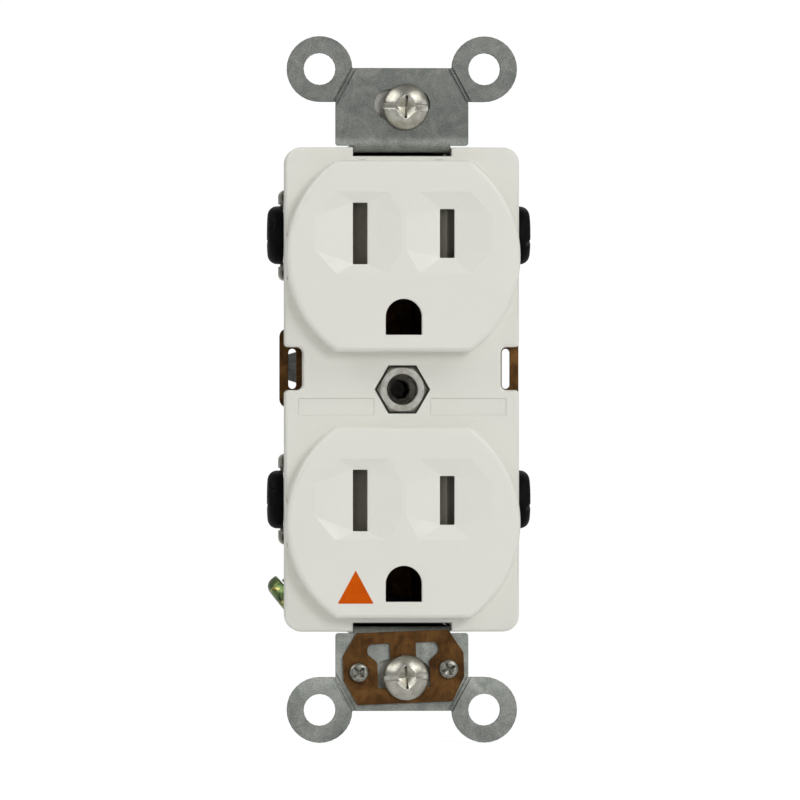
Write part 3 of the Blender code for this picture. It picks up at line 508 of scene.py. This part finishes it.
def fibrous(name):
    """Pressed vulcanised fibre."""
    paint = Paint(name, 0.8)
    fibres = paint.noise(0.5, 5.0, 0.7, vector=paint.stretched((1, 1, 0.25)))
    cloud = paint.noise(2.0, 3.0)
    tone = paint.ramp(fibres, (0.3, srgb(214, 211, 202)), (0.7, srgb(238, 236, 228)))
    stain = paint.ramp(cloud, (0.3, srgb(206, 202, 192)), (0.7, srgb(240, 238, 230)))
    paint.colour(paint.mixed(0.3, tone, stain))
    paint.rough(paint.ramp(fibres, (0.3, 0.7), (0.7, 0.9)))
    return paint.bumps((fibres, 0.03)).made


def printed_ink(name):
    """Opaque orange marking ink, slightly uneven."""
    paint = Paint(name, 0.6, Specular_IOR_Level=0.05)
    cloud = paint.noise(1.2, 4.0, 0.6)
    grain = paint.noise(0.12, 2.0)
    tone = paint.ramp(cloud, (0.3, srgb(200, 80, 0)), (0.7, srgb(212, 90, 0)))
    speck = paint.ramp(grain, (0.35, srgb(184, 64, 0)), (0.65, srgb(214, 92, 2)))
    paint.colour(paint.mixed(0.2, tone, speck))
    paint.rough(paint.ramp(grain, (0.3, 0.45), (0.7, 0.6)))
    return paint.bumps((grain, 0.006)).made


WHITE = nylon("white_nylon_look", (0.78, 0.775, 0.715), 0.012, 0.36)
BLACK = nylon("black_nylon_look", (0.012, 0.012, 0.013), 0.25, 0.42, relief=0.012)
SHUTTER = nylon("grey_shutter_look", srgb(124, 120, 109), 0.04, 0.36)
STEEL = galvanised("galvanised_steel_look")
BRASS = tarnished("dull_brass_look", srgb(107, 74, 37), srgb(64, 40, 15))
NICKEL = plated("nickel_steel_look", srgb(194, 193, 184), srgb(170, 166, 152), 0.27)
POST_LOOK = plated("dull_nickel_look", srgb(176, 175, 169), srgb(150, 147, 138), 0.38)
RIVET = plated("staked_rivet_look", srgb(152, 151, 143), srgb(98, 98, 92), 0.32)
WIRE = plated("spring_steel_look", srgb(190, 192, 194), srgb(160, 160, 160), 0.25)
OXIDE = blackened("black_oxide_look")
GREEN = green_dyed("green_plated_look")
FIBRE = fibrous("fibre_look")
INK = printed_ink("orange_ink_look")

LOOKS = {
    "white_nylon": WHITE, "black_nylon": BLACK, "grey_shutter": SHUTTER, "galvanised_steel": STEEL,
    "nickel_steel": NICKEL, "dull_brass": BRASS, "black_oxide": OXIDE, "green_plated": GREEN, "fibre": FIBRE,
    "spring_steel": WIRE,
}
SLOT_OF = {part["node"]: part["material_slot"] for part in frame["record"]["subparts"]}
BODY_OF = {node: body for body, nodes in frame["record"]["behaviour"]["bodies"].items() for node in nodes}


def stands_for(made, node, place=None, look=None):
    """Names a new piece, dresses it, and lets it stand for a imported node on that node's body."""
    made.name = node + "_look"
    made.data.name = made.name
    made.data.materials.clear()
    made.data.materials.append(look or LOOKS[SLOT_OF[node]])
    if place is not None:
        made.matrix_world = place
    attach(made, BODY_OF[node])
    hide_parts(node)
    return made


# ---------------------------------------------------------------- face cover

FACE_FRONT, DECK_FRONT, DECK_BACK, SKIRT_BACK = -6.8, -2.2, -0.4, 4.2
COVER_HALF_WIDTH, COVER_HALF_HEIGHT, COVER_CORNER, COVER_WALL = 17.1, 35.4, 2.4, 1.6
STRAP_NOTCH_HALF, STRAP_NOTCH_FLOOR = 7.2, 34.1
FIN_NOTCH_X, FIN_NOTCH_LOW, FIN_NOTCH_HIGH, FIN_NOTCH_LIP, FIN_NOTCH_INNER = 14.43, -0.1, 6.2, 0.6, 0.9
OUTLET_Z = 19.45
FACE_RADIUS, FACE_FLAT, FACE_WALL = 17.05, 13.95, 1.8
DECK_EDGE, FACE_EDGE, COVER_EDGE = 0.45, 0.75, 0.1
BLADE_X, BLADE_RISE = 6.35, 3.27
SLOT_HALF_WIDTH, NEUTRAL_SLOT, HOT_SLOT = 1.065, 8.95, 7.1
GROUND_DROP, GROUND_RADIUS, GROUND_FLAT = 8.9, 2.65, 2.6
GUIDE_DEPTH, GUIDE_REACH, GUIDE_TOP = 0.45, 6.7, 11
GUIDE_TILTS = (1.5, 32)  # degrees between two faces of a guide recess
GUIDE_RIM = (
    (-6, -2.4), (-4.1, -5.8), (3.6, -5.8), (6.6, -2.4), (6.6, 2.6), (3.3, 6.1), (-4.2, 6.1), (-6, 2.6),
)
PANEL_X, PANEL_Z, PANEL_DEPTH = (4.15, 15.2), (-3.75, -1.3), 0.1
ASSEMBLY_X, ASSEMBLY_Z, ASSEMBLY_SHANK, BOSS_RADIUS, BOSS_HOLE_FRONT = 5.6, 31.8, 1.05, 1.9, 1.0
HEX_FLATS, HEX_FRONT, HEX_BACK, HEX_CHAMFER = 6.45, -2.0, 0.7, 0.42
POST_RADIUS, POST_END, POST_RIM, POST_BOSS = 2.5, 25.5, 3.3, 5.4
OUTLETS = (OUTLET_Z, -OUTLET_Z)


def face_outline(centre_z, inset=0.0):
    """A circle with its top and bottom cut flat."""
    radius, flat = FACE_RADIUS - inset, FACE_FLAT - inset
    end = math.degrees(math.asin(flat / radius))
    right = arc((0, centre_z), radius, -end, end, 64)
    return right + arc((0, centre_z), radius, 180 - end, 180 + end, 64)


def cover_outline(inset=0.0):
    """The deck, with a notch at each end for the strap and at each side for the fins."""
    wide, high = COVER_HALF_WIDTH - inset, COVER_HALF_HEIGHT - inset
    floor, half = STRAP_NOTCH_FLOOR - inset, STRAP_NOTCH_HALF + inset
    notch_x, low, top = FIN_NOTCH_X - inset, FIN_NOTCH_LOW - inset, FIN_NOTCH_HIGH + inset
    corner = COVER_CORNER - inset
    right = [(half, -floor), (half, -high), (wide, -high, corner), (wide, low, FIN_NOTCH_LIP)]
    right += [(notch_x, low, FIN_NOTCH_INNER), (notch_x, top, FIN_NOTCH_INNER), (wide, top, FIN_NOTCH_LIP)]
    right += [(wide, high, corner), (half, high), (half, floor)]
    return rounded(right + mirrored(right), 10)


def hexagon(flats):
    return circle((0, 0), flats / math.sqrt(3), 6)


def slot_outlines(centre_z):
    """The neutral slot, the hot slot and the ground hole of one face."""
    blade_z, ground_z = centre_z + BLADE_RISE, centre_z - GROUND_DROP
    neutral = rectangle(*around(-BLADE_X, SLOT_HALF_WIDTH), *around(blade_z, NEUTRAL_SLOT / 2))
    hot = rectangle(*around(BLADE_X, SLOT_HALF_WIDTH), *around(blade_z, HOT_SLOT / 2))
    ground = arc((0, ground_z), GROUND_RADIUS, 0, 180, 40)
    ground += [(-GROUND_RADIUS, ground_z - GROUND_FLAT), (GROUND_RADIUS, ground_z - GROUND_FLAT)]
    return neutral, hot, ground


def guide_recess(side, blade_z, slot_height):
    """A shallow faceted dish that leads a plug's blade to its slot."""
    middle = side * BLADE_X
    rim = [(middle + side * u, blade_z + v) for u, v in GUIDE_RIM]
    slot = rectangle(*around(middle, SLOT_HALF_WIDTH), *around(blade_z, slot_height / 2))
    points = [(u, FACE_FRONT, v) for u, v in rim] + [(u, FACE_FRONT - OVER, v) for u, v in rim]
    return hull(points + [(u, FACE_FRONT + GUIDE_DEPTH, v) for u, v in slot])


def face_cover():
    """The white front: a hollow deck with two raised faces, bosses, slots, guides and two blank panels."""
    made = stacked(cover_outline, DECK_FRONT, quarter(DECK_EDGE, 5), SKIRT_BACK)
    inside_front = FACE_FRONT + FACE_WALL
    edge = quarter(FACE_EDGE, 8)
    for centre in OUTLETS:
        join(made, stacked(lambda inset: face_outline(centre, inset), FACE_FRONT, edge, DECK_BACK - GAP))
    cut(made, extruded(cover_outline(COVER_WALL), DECK_BACK, SKIRT_BACK + OVER))
    for centre in OUTLETS:
        cut(made, extruded(face_outline(centre, FACE_WALL), inside_front, DECK_BACK + GAP))
    join(made, post((0, 0), POST_BOSS, DECK_BACK - GAP, SKIRT_BACK))
    for x in (-ASSEMBLY_X, ASSEMBLY_X):
        for z in (-ASSEMBLY_Z, ASSEMBLY_Z):
            join(made, post((x, z), BOSS_RADIUS, inside_front - GAP, SKIRT_BACK, 32))
            cut(made, post((x, z), ASSEMBLY_SHANK + GAP, BOSS_HOLE_FRONT, SKIRT_BACK + OVER, 24))
    cut(made, extruded(hexagon(HEX_FLATS + 2 * GAP), DECK_FRONT - OVER, HEX_BACK + GAP))
    cut(made, post((0, 0), POST_RADIUS + GAP, 0, SKIRT_BACK + OVER))
    for centre in OUTLETS:
        cut(made, guide_recess(-1, centre + BLADE_RISE, NEUTRAL_SLOT))
        cut(made, guide_recess(1, centre + BLADE_RISE, HOT_SLOT))
        for outline in slot_outlines(centre):
            cut(made, extruded(outline, FACE_FRONT - OVER, inside_front + OVER))
    for side in SIDES:
        cut(made, box(on_side(side, *PANEL_X), (DECK_FRONT - OVER, DECK_FRONT + PANEL_DEPTH), PANEL_Z))
    keep_facets(cleaned(made))
    stands_for(softened(made, COVER_EDGE), "face_cover")


def keep_facets(made):
    """Keeps the creases of the guide recesses crisp, which are too shallow to count as edges by angle."""
    builder = bmesh.new()
    builder.from_mesh(made.data)
    floor = (FACE_FRONT + GUIDE_DEPTH + 0.01) * MM
    for edge in builder.edges:
        if len(edge.link_faces) == 2 and all(vert.co.y < floor for vert in edge.verts):
            first, second = (face.normal for face in edge.link_faces)
            tilt = math.degrees(first.angle(second, 0))
            reach = max(abs(abs(vert.co.x) / MM - BLADE_X) for vert in edge.verts)
            rise = max(abs(abs(vert.co.z) / MM - OUTLET_Z) for vert in edge.verts)
            if GUIDE_TILTS[0] < tilt < GUIDE_TILTS[1] and reach < GUIDE_REACH and rise < GUIDE_TOP:
                edge.smooth = False
    builder.to_mesh(made.data)
    builder.free()


# ---------------------------------------------------------------- hexagonal post

LEAD_RADIUS, LEAD_END, LEAD_CHAMFER = 2.17, 3.5, 0.16
BORE_RADIUS, BORE_THREAD, BORE_FRONT, BORE_END = 1.72, 0.34, 2.9, 21.0
FLANK_SLOPE, ROOT_FLAT = 1.25, 0.12


def thread(radius, depth, pitch, high, low, rows=8):
    """(radius, height) rows of a right-hand thread, which fades out at both ends."""
    count = max(4, round((high - low) / pitch * rows))
    made = []
    for step in range(count + 1):
        height = high - (high - low) * step / count
        fade = min(1.0, step / rows, (count - step) / rows)

        def reach(share, height=height, fade=fade):
            phase = (height / pitch - share) % 1.0
            flank = min(1.0, max(0.0, FLANK_SLOPE * abs(2 * phase - 1) - ROOT_FLAT))
            return radius - depth * (1 - flank) * fade

        made.append((reach, height))
    return made


def hex_post():
    """The post between the faces, rolled over behind the strap, with a lead-in and a threaded bore."""
    along = axes_at((0, 0, 0), INTO_WALL, RIGHT)
    profile = [(0, HEX_BACK - OVER), (POST_RADIUS, HEX_BACK - OVER), (POST_RADIUS, POST_END)]
    profile += [(POST_RIM, POST_END), (POST_RIM, POST_END + 0.3), (POST_RIM - 0.15, POST_END + 0.5)]
    profile += [(POST_RIM - 0.6, POST_END + 0.7), (0, POST_END + 0.7)]
    made = placed(turned(profile, 64), along)
    head = [(u, y, v) for y in (HEX_BACK, HEX_FRONT + HEX_CHAMFER) for u, v in hexagon(HEX_FLATS)]
    crown = circle((0, 0), HEX_FLATS / 2 - 0.02, 72)
    join(made, hull(head + [(u, HEX_FRONT, v) for u, v in crown]))
    lead = [(0, HEX_FRONT - OVER), (LEAD_RADIUS + OVER, HEX_FRONT - OVER)]
    lead += [(LEAD_RADIUS + LEAD_CHAMFER, HEX_FRONT), (LEAD_RADIUS, HEX_FRONT + LEAD_CHAMFER)]
    lead += [(LEAD_RADIUS, LEAD_END - 0.7), (1.2, LEAD_END + 0.2), (0, LEAD_END + 0.2)]
    cut(made, placed(turned(lead, 64), along))
    bore = [(0, BORE_END), *thread(BORE_RADIUS, BORE_THREAD, PITCH, BORE_END, BORE_FRONT), (0, BORE_FRONT)]
    cut(made, placed(turned(bore, 32), along))
    stands_for(softened(cleaned(made), 0.06, 2, 30), "cover_plate_hex_post", look=POST_LOOK)


# ---------------------------------------------------------------- screws

BOX_HEAD, BOX_HEIGHT, BOX_RIM, BOX_SHANK = 3.36, 2.1, 0.42, 1.7
BOX_TURNS = {"upper": -3, "lower": 4.5}  # degrees
ASSEMBLY_HEAD, ASSEMBLY_HEIGHT, ASSEMBLY_RIM, ASSEMBLY_PITCH, ASSEMBLY_TURN = 2.1, 1.3, 0.3, 0.8, 0.4
TERMINAL_HEAD, TERMINAL_HEIGHT, TERMINAL_SHANK, TERMINAL_LENGTH, TERMINAL_TURN = 4.27, 2.25, 2.1, 6.5, 0.35
PAN_SHOULDER = 1.4


def dome(radius, height, rim, steps=14):
    """A domed head: a straight rim with a rounded shoulder, and a cap over it."""
    rise = height - rim
    ball = (radius * radius + rise * rise) / (2 * rise)
    leans = [math.asin(radius / ball) * k / steps for k in range(steps + 1)]
    cap = [(ball * math.sin(lean), height - ball * (1 - math.cos(lean))) for lean in leans]
    cap[-1] = (radius - 0.05, cap[-1][1] + 0.02)
    return cap + [(radius, rim - 0.1), (radius, 0.12), (radius - 0.12, 0)]


def pan(radius, height):
    """A flat head with a broad rounded shoulder."""
    shoulder = arc((radius - PAN_SHOULDER, height - PAN_SHOULDER), PAN_SHOULDER, 90, 0, 8)
    return [(0, height), (radius * 0.4, height), *shoulder, (radius, 0.15), (radius - 0.15, 0)]


def cross_recess(top, half_length, half_width, depth):
    """A tapered cross with a wider middle, for the driver."""
    mouth_top = top + OVER / 2
    lying = rectangle(*around(0, half_length), *around(0, half_width))
    lying_foot = rectangle(*around(0, half_length * 0.3), *around(0, half_width * 0.55))
    upright, upright_foot = ([(v, u) for u, v in outline] for outline in (lying, lying_foot))
    wings = []
    for mouth, foot in ((lying, lying_foot), (upright, upright_foot)):
        points = [(u * 1.25, v * 1.12, mouth_top) for u, v in mouth] + [(u, v, top - 0.1) for u, v in mouth]
        wings.append(hull(points + [(u, v, top - depth) for u, v in foot]))
    middle = [(u * 1.2, v * 1.2, mouth_top) for u, v in circle((0, 0), half_width * 2.3, 4)]
    tip = circle((0, 0), half_width * 0.7, 4)
    return wings + [hull(middle + [(u, v, top - depth * 1.1) for u, v in tip])]


def straight_slot(top, half_width, depth, reach):
    """A straight driver slot across the head, slightly wider at its mouth."""
    flank = [(-half_width * 0.75, top - depth), (half_width * 0.75, top - depth)]
    flank += [(half_width * 1.3, top + OVER), (-half_width * 1.3, top + OVER)]
    return placed(extruded(flank, -reach, reach), Matrix.Rotation(math.pi / 2, 4, "Z"))


def combination_recess(radius, height, rim):
    """A straight slot that follows the dome, and a cross whose flanks open out as a lozenge."""

    def surface(u):
        return height - (height - rim) * (u / radius) ** 2

    foot = [(0.28, 0), (0, 0.32), (-0.28, 0), (0, -0.32)]
    mouth = [(u * 9.3, v * 9.4, height + 0.2) for u, v in foot]
    flanks = hull(mouth + [(u, v, height - 1.3) for u, v in foot])
    upright = rectangle(*around(0, 0.27), *around(0, 1.95))
    deep = rectangle(*around(0, 0.06), *around(0, 1.3))
    wing = hull([(u, v, height + 0.4) for u, v in upright] + [(u, v, height - 1.65) for u, v in deep])
    floor = [(u / 4, surface(u / 4) - 0.4) for u in range(-16, 17)]
    slot = extruded([(-4, height + OVER), *floor, (4, height + OVER)], *around(0, 0.47))
    return [flanks, wing, slot]


def screw(head, shank, pitch, length, cutters, twist, steps=72):
    """A machine screw along Z, its head's underside at the origin, with the given recess cut in its top."""
    rows = thread(shank, 0.3 * pitch + 0.12, pitch, -0.35, 0.5 - length)
    profile = head + [(shank - 0.1, 0), (shank - 0.1, -0.3)] + rows + [(shank - 0.75, -length), (0, -length)]
    made = turned(profile, steps)
    cut(made, *(placed(cutter, Matrix.Rotation(twist, 4, "Z")) for cutter in cutters))
    return softened(cleaned(made), 0.05, 2, 34)


def box_screws():
    """The two domed screws that hold the outlet in its box."""
    head = dome(BOX_HEAD, BOX_HEIGHT, BOX_RIM)
    for name, turn in BOX_TURNS.items():
        low, high = low_high(f"{name}_box_screw")
        x, _, z = centre_of(low, high)
        seat = low[1] + BOX_HEIGHT
        cutters = combination_recess(BOX_HEAD, BOX_HEIGHT, BOX_RIM)
        made = screw(head, BOX_SHANK, PITCH, high[1] - seat, cutters, math.radians(turn))
        stands_for(made, f"{name}_box_screw", axes_at((x, seat, z), TO_VIEWER, RIGHT))


def assembly_screws():
    """The four screws that hold the body and the cover together, driven from behind."""
    head = dome(ASSEMBLY_HEAD, ASSEMBLY_HEIGHT, ASSEMBLY_RIM)
    for node in [f"{row}_{column}_assembly_screw" for row in ROWS for column in ("left", "right")]:
        low, high = low_high(node)
        x, _, z = centre_of(low, high)
        seat = high[1] - ASSEMBLY_HEIGHT
        cutters = cross_recess(ASSEMBLY_HEIGHT, 1.25, 0.27, 0.95)
        made = screw(head, ASSEMBLY_SHANK, ASSEMBLY_PITCH, seat - low[1], cutters, ASSEMBLY_TURN, 48)
        stands_for(made, node, axes_at((x, seat, z), INTO_WALL, RIGHT))


def terminal_screws():
    """The five screws that clamp the wires, each about the axis of its own joint."""
    head = pan(TERMINAL_HEAD, TERMINAL_HEIGHT)
    for name in ("upper_hot", "lower_hot", "upper_neutral", "lower_neutral", "ground"):
        joint = JOINTS[f"{name}_screw_turn"]
        place = axes_at([value / MM for value in joint["pos_m"]], joint["axis"], INTO_WALL)
        cutters = cross_recess(TERMINAL_HEIGHT, 1.75, 0.34, 1.05)
        cutters.append(straight_slot(TERMINAL_HEIGHT, 0.42, 0.75, 4.6))
        made = screw(head, TERMINAL_SHANK, PITCH, TERMINAL_LENGTH, cutters, TERMINAL_TURN)
        stands_for(made, f"{name}_screw", place)


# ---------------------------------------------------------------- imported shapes, refined

RAIL_X, RAIL_Y, RAIL_Z = (7.4, 8.4), (8.0, 19.5), (33.5, 35.1)
TRIM_X, TRIM_Y, TRIM_Z = (7.2, 9.6), (5.0, 10.0), (35.45, 37.0)
SCORE_START, SCORE_END, SCORE_MARGIN = (7.05, 47.0), (9.72, 42.05), 0.1
RIB_HALF_WIDTH, RIB_FRONT, RIB_BACK = 0.13, -1.24, -0.6
WEB_X, WEB_Y, WEB_Z = (0.27, 1.35), (0.1, 0.6), (3.9, 6.4)


def carried(node, width, segments=3):
    """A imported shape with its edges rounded."""
    stands_for(softened(copy_of(node), width, segments), node)


def terminal_clamp(node):
    """A clamp plate whose two stepped ends have a web across the bend."""
    made = copy_of(node)
    low, high = low_high(node)
    middle = centre_of(low, high)[2]
    out = low[0] if low[0] + high[0] < 0 else high[0]
    depths = [out + reach for reach in on_side(math.copysign(1, -out), *WEB_X)]
    for row in SIDES:
        heights = [middle + reach for reach in on_side(row, *WEB_Z)]
        join(made, box(depths, (high[1] - WEB_Y[1], high[1] - WEB_Y[0]), heights))
    stands_for(softened(cleaned(made), 0.1), node)


def rear_body():
    """The black body, with a guide rail beside each end web of the strap, and its cheeks cut back."""
    made = copy_of("rear_body")
    for row in SIDES:
        for side in SIDES:
            join(made, box(on_side(side, *RAIL_X), RAIL_Y, on_side(row, *RAIL_Z)))
            cut(made, box(on_side(side, *TRIM_X), TRIM_Y, on_side(row, *TRIM_Z)))
    stands_for(softened(cleaned(made), 0.15), "rear_body")


def strap():
    """The mounting strap. Each score line has a low rib along its middle."""
    made = copy_of("mounting_strap")
    for row in SIDES:
        for side in SIDES:
            start, end = (Vector((side * u, row * v)) for u, v in (SCORE_START, SCORE_END))
            along = (end - start).normalized()
            across = along.orthogonal() * RIB_HALF_WIDTH
            start, end = start + along * SCORE_MARGIN, end - along * SCORE_MARGIN
            rib = (start - across, end - across, end + across, start + across)
            join(made, extruded(rib, RIB_FRONT, RIB_BACK))
    stands_for(softened(cleaned(made), 0.07), "mounting_strap")


# ---------------------------------------------------------------- washers, springs, rivets and shutters

WASHER_HOLE = 2.0
SPRING_TURNS, SPRING_STEPS, SPRING_WIRE = 5.5, 28, 0.15
RIVET_RISE, RIVET_SHANK, RIVET_TURNS = 0.45, 0.9, {"left": 0.75, "right": 0.4}
GROOVE_HALF_LENGTH, GROOVE_MOUTH, GROOVE_DEPTH = (0.8, 1.15), 0.3, 0.38
WINDOW_SHIFT, WINDOW_HALF_WIDTH, WINDOW_HALF_HEIGHT, CREST_SHIFT = -2.6, 1.25, 4.8, 1.25
STEP_SHIFT, STEP_DEPTHS, RAMP_LIP = 0.1, (-2.9, -3.1, -4.1, -3.7), 0.5


def ring_of(rings):
    """A closed ring through rings of points, the last joined to the first."""
    builder = bmesh.new()
    rows = [[builder.verts.new(Vector(point) * MM) for point in ring] for ring in rings]
    for lower, upper in zip(rows, rows[1:] + rows[:1]):
        for index in range(len(lower)):
            after = (index + 1) % len(lower)
            builder.faces.new((lower[index], lower[after], upper[after], upper[index]))
    return object_of(builder)


def washers():
    """The fibre washers that hold the box screws in the strap's slots."""
    for node in [f"{row}_captive_washer" for row in ROWS]:
        low, high = low_high(node)
        x, _, z = centre_of(low, high)
        outer, thick = (high[0] - low[0]) / 2, high[1] - low[1]
        profile = [(WASHER_HOLE, 0), (outer, 0), (outer, thick), (WASHER_HOLE, thick)]
        rings = [[(u, v, height) for u, v in circle((0, 0), radius, 64)] for radius, height in profile]
        stands_for(softened(ring_of(rings), 0.1, 2, 30), node, axes_at((x, low[1], z), INTO_WALL, RIGHT))


def springs():
    """The helical springs that hold the shutters shut, and shorten as the shutters slide."""
    for row in ROWS:
        low, high = low_high(f"{row}_shutter_spring")
        _, centre_y, centre_z = centre_of(low, high)
        radius = (high[2] - low[2]) / 2 - SPRING_WIRE
        start, end = low[0] + SPRING_WIRE, high[0] - SPRING_WIRE
        count = int(SPRING_TURNS * SPRING_STEPS)
        rings = []
        for step in range(count + 1):
            angle = 2 * math.pi * step / SPRING_STEPS
            out = Vector((0, math.cos(angle), math.sin(angle)))
            middle = Vector((start + (end - start) * step / count, centre_y, centre_z)) + out * radius
            rings.append([middle + out * u + Vector((v, 0, 0)) for u, v in circle((0, 0), SPRING_WIRE, 12)])
        made = stands_for(softened(loft(rings), 0), f"{row}_shutter_spring")
        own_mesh(made)


def rivets():
    """The clip's two rivets, each staked with a shallow crossed punch."""
    rise = RIVET_RISE
    near, far = GROOVE_HALF_LENGTH
    for name, start in RIVET_TURNS.items():
        low, high = low_high(f"{name}_clip_rivet")
        x, _, z = centre_of(low, high)
        radius, length = (high[0] - low[0]) / 2, high[1] - low[1] - rise
        head = [(0, rise - 0.16), (0.45, rise - 0.14), (0.75, rise), (1.05, rise - 0.02)]
        head += [(radius - 0.12, rise - 0.16), (radius, 0.1), (radius - 0.05, 0)]
        made = turned(head + [(RIVET_SHANK, 0), (RIVET_SHANK, -length), (0, -length)], 48)
        flank = [(0, rise - GROOVE_DEPTH), (-GROOVE_MOUTH, rise + 0.08), (GROOVE_MOUTH, rise + 0.08)]
        corners = [(u, v, height) for u in (-near, near) for v, height in flank]
        corners += [(u, 0, rise + 0.05) for u in (-far, far)]
        for angle in (start, start + math.pi / 2):
            cut(made, placed(hull(corners), Matrix.Rotation(angle, 4, "Z")))
        place = axes_at((x, low[1] + rise, z), TO_VIEWER, RIGHT)
        stands_for(softened(cleaned(made), 0.04, 2), f"{name}_clip_rivet", place, RIVET)


def shutters():
    """The sliding blocks behind the blade slots. Under the hot slot the ramp is stepped."""
    for node in [f"{row}_shutter" for row in ROWS]:
        low, high = low_high(node)
        clear = low[1] - OVER
        made = box(*zip(low, high))
        rows = around(centre_of(low, high)[2], WINDOW_HALF_HEIGHT)
        for slot in (-BLADE_X, BLADE_X):
            window = around(slot + WINDOW_SHIFT, WINDOW_HALF_WIDTH)
            cut(made, box(window, (clear, high[1] + OVER), rows))
            foot, crest, step = window[1] - GAP, slot + CREST_SHIFT, slot + STEP_SHIFT
            ramp = [(crest, low[1])]
            if slot > 0:
                ramp = list(zip((crest, step, step, foot + RAMP_LIP), STEP_DEPTHS))
            ramp.append((foot, high[1] - RAMP_LIP))
            cut(made, extruded([(foot, clear), (crest, clear), *ramp], *rows, "Z"))
        stands_for(softened(cleaned(made), 0.08, 2), node)


# ---------------------------------------------------------------- the printed mark

MARK_CORNERS, MARK_ROUNDING = ((-9.66, -11.75), (-4.42, -11.75), (-7.03, -6.9)), 0.07


def ground_mark():
    """The orange triangle that marks an isolated ground, printed a hair proud of the lower face."""
    corners = [(u, v - OUTLET_Z, MARK_ROUNDING) for u, v in MARK_CORNERS]
    made = extruded(rounded(corners, 4), FACE_FRONT - 0.03, FACE_FRONT + 0.05)
    made.name = made.data.name = "isolated_ground_mark"
    made.data.materials.append(INK)
    softened(made, 0.015, 2)
    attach(made, "outlet")


face_cover()
hex_post()
box_screws()
assembly_screws()
terminal_screws()
washers()
springs()
rivets()
shutters()
ground_mark()
strap()
carried("self_grounding_clip", 0.06)
rear_body()
carried("hot_contact_bus", 0.08)
carried("neutral_contact_bus", 0.08)
carried("isolated_ground_bus", 0.08)
for row in ROWS:
    carried(f"{row}_shutter_carrier", 0.06, 2)
    for side in ("hot", "neutral"):
        terminal_clamp(f"{row}_{side}_clamp")
carried("ground_clamp", 0.1)


# ---------------------------------------------------------------- floor, light and camera

FLOOR_X, FLOOR_Y, FLOOR_CORNER, FLOOR_THICKNESS, FLOOR_CLEAR = (-900, 900), (-600, 1200), 300, 8.0, 0.05
SEEN_WHITE, SKY_STRENGTH = 1.02, 0.28
AZIMUTH, DISTANCE, VIEW_WIDTH, AIM = -2.85, 1.4, 0.11696, (-0.3, -1.3, -1.54)
LIGHTS = (  # name, position, size, power and colour
    ("left", (-1.1, -0.42, 1.0), (1.3, 1.0), 8.6, (1.0, 0.995, 0.98)),
    ("right", (0.9, -0.75, 1.02), (1.1, 0.9), 7.0, (1, 1, 1)),
    ("side", (1.3, -0.1, 0.1), (0.5, 0.9), 1.5, (1, 1, 1)),
    ("front", (0.45, -1.48, 0.33), (0.4, 0.4), 5.0, (1, 1, 1)),
    ("behind", (0.1, 0.9, 0.7), (0.8, 0.5), 1.6, (1, 1, 1)),
)


def floor():
    """A plain pale floor that looks as white as the surroundings, with a painted shadow that makes it a little
    darker under the outlet.
    """
    top = CAD_BOX[0].z / MM - FLOOR_CLEAR
    outline = rounded([(*corner, FLOOR_CORNER) for corner in rectangle(*FLOOR_X, *FLOOR_Y)], 12)
    made = extruded(outline, top - FLOOR_THICKNESS, top, "Z")
    made.name = made.data.name = "floor"
    paint = Paint("floor_look", 0.7)
    cloud = paint.noise(60.0, 3.0)
    tone = paint.ramp(cloud, (0.3, 0.90), (0.7, 0.93))
    paint.colour(tone).bumps((paint.noise(1.5, 3.0), 0.01))
    # painted shadow: ambient occlusion darkens the glow the camera sees near the outlet
    near = paint.node("AmbientOcclusion", {"Distance": 0.02}).outputs["AO"]
    shade = paint.ramp(near, (0.0, 0.80), (0.6, 1.0))
    glow = paint.node("Emission", {"Color": shade, "Strength": SEEN_WHITE}).outputs["Emission"]
    seen = paint.node("LightPath").outputs["Is Camera Ray"]
    both = paint.node("MixShader", {0: seen, 1: paint.shader.outputs["BSDF"], 2: glow}).outputs["Shader"]
    paint.tree.links.new(both, paint.tree.nodes["Material Output"].inputs["Surface"])
    made.data.materials.append(paint.made)
    softened(made, 2.0)


def area_light(name, position, size, power, colour):
    """A rectangular light that faces the outlet, and isn't seen itself."""
    data = bpy.data.lights.new(name, "AREA")
    data.shape = "RECTANGLE"
    data.size, data.size_y = size
    data.energy = power
    data.color = colour
    made = bpy.data.objects.new(name, data)
    bpy.context.scene.collection.objects.link(made)
    made.location = position
    made.rotation_euler = (-Vector(position)).to_track_quat("-Z", "Y").to_euler()
    made.visible_camera = False


def world_light():
    """A white world, which looks pure white to the camera and lights the outlet less strongly."""
    world = bpy.data.worlds.new("studio")
    bpy.context.scene.world = world
    world.use_nodes = True
    tree = world.node_tree
    background = tree.nodes["Background"]
    seen = tree.nodes.new("ShaderNodeLightPath")
    strength = tree.nodes.new("ShaderNodeMapRange")
    tree.links.new(seen.outputs["Is Camera Ray"], strength.inputs["Value"])
    strength.inputs["To Min"].default_value = SKY_STRENGTH
    strength.inputs["To Max"].default_value = SEEN_WHITE
    background.inputs["Color"].default_value = (1, 1, 1, 1)
    tree.links.new(strength.outputs["Result"], background.inputs["Strength"])


def camera():
    """A long lens, almost level and almost straight in front."""
    azimuth = math.radians(AZIMUTH)
    data = bpy.data.cameras.new("camera")
    data.sensor_width = 36.0
    data.lens = data.sensor_width * DISTANCE / VIEW_WIDTH
    data.clip_start, data.clip_end = 0.1, 20.0
    made = bpy.data.objects.new("camera", data)
    bpy.context.scene.collection.objects.link(made)
    away = Vector((math.sin(azimuth), -math.cos(azimuth), 0.0))
    made.location = Vector(AIM) * MM + away * DISTANCE
    made.rotation_euler = (-away).to_track_quat("-Z", "Y").to_euler()
    bpy.context.scene.camera = made


bpy.context.scene.view_settings.view_transform = "Standard"
floor()
world_light()
for light in LIGHTS:
    area_light(*light)
camera()
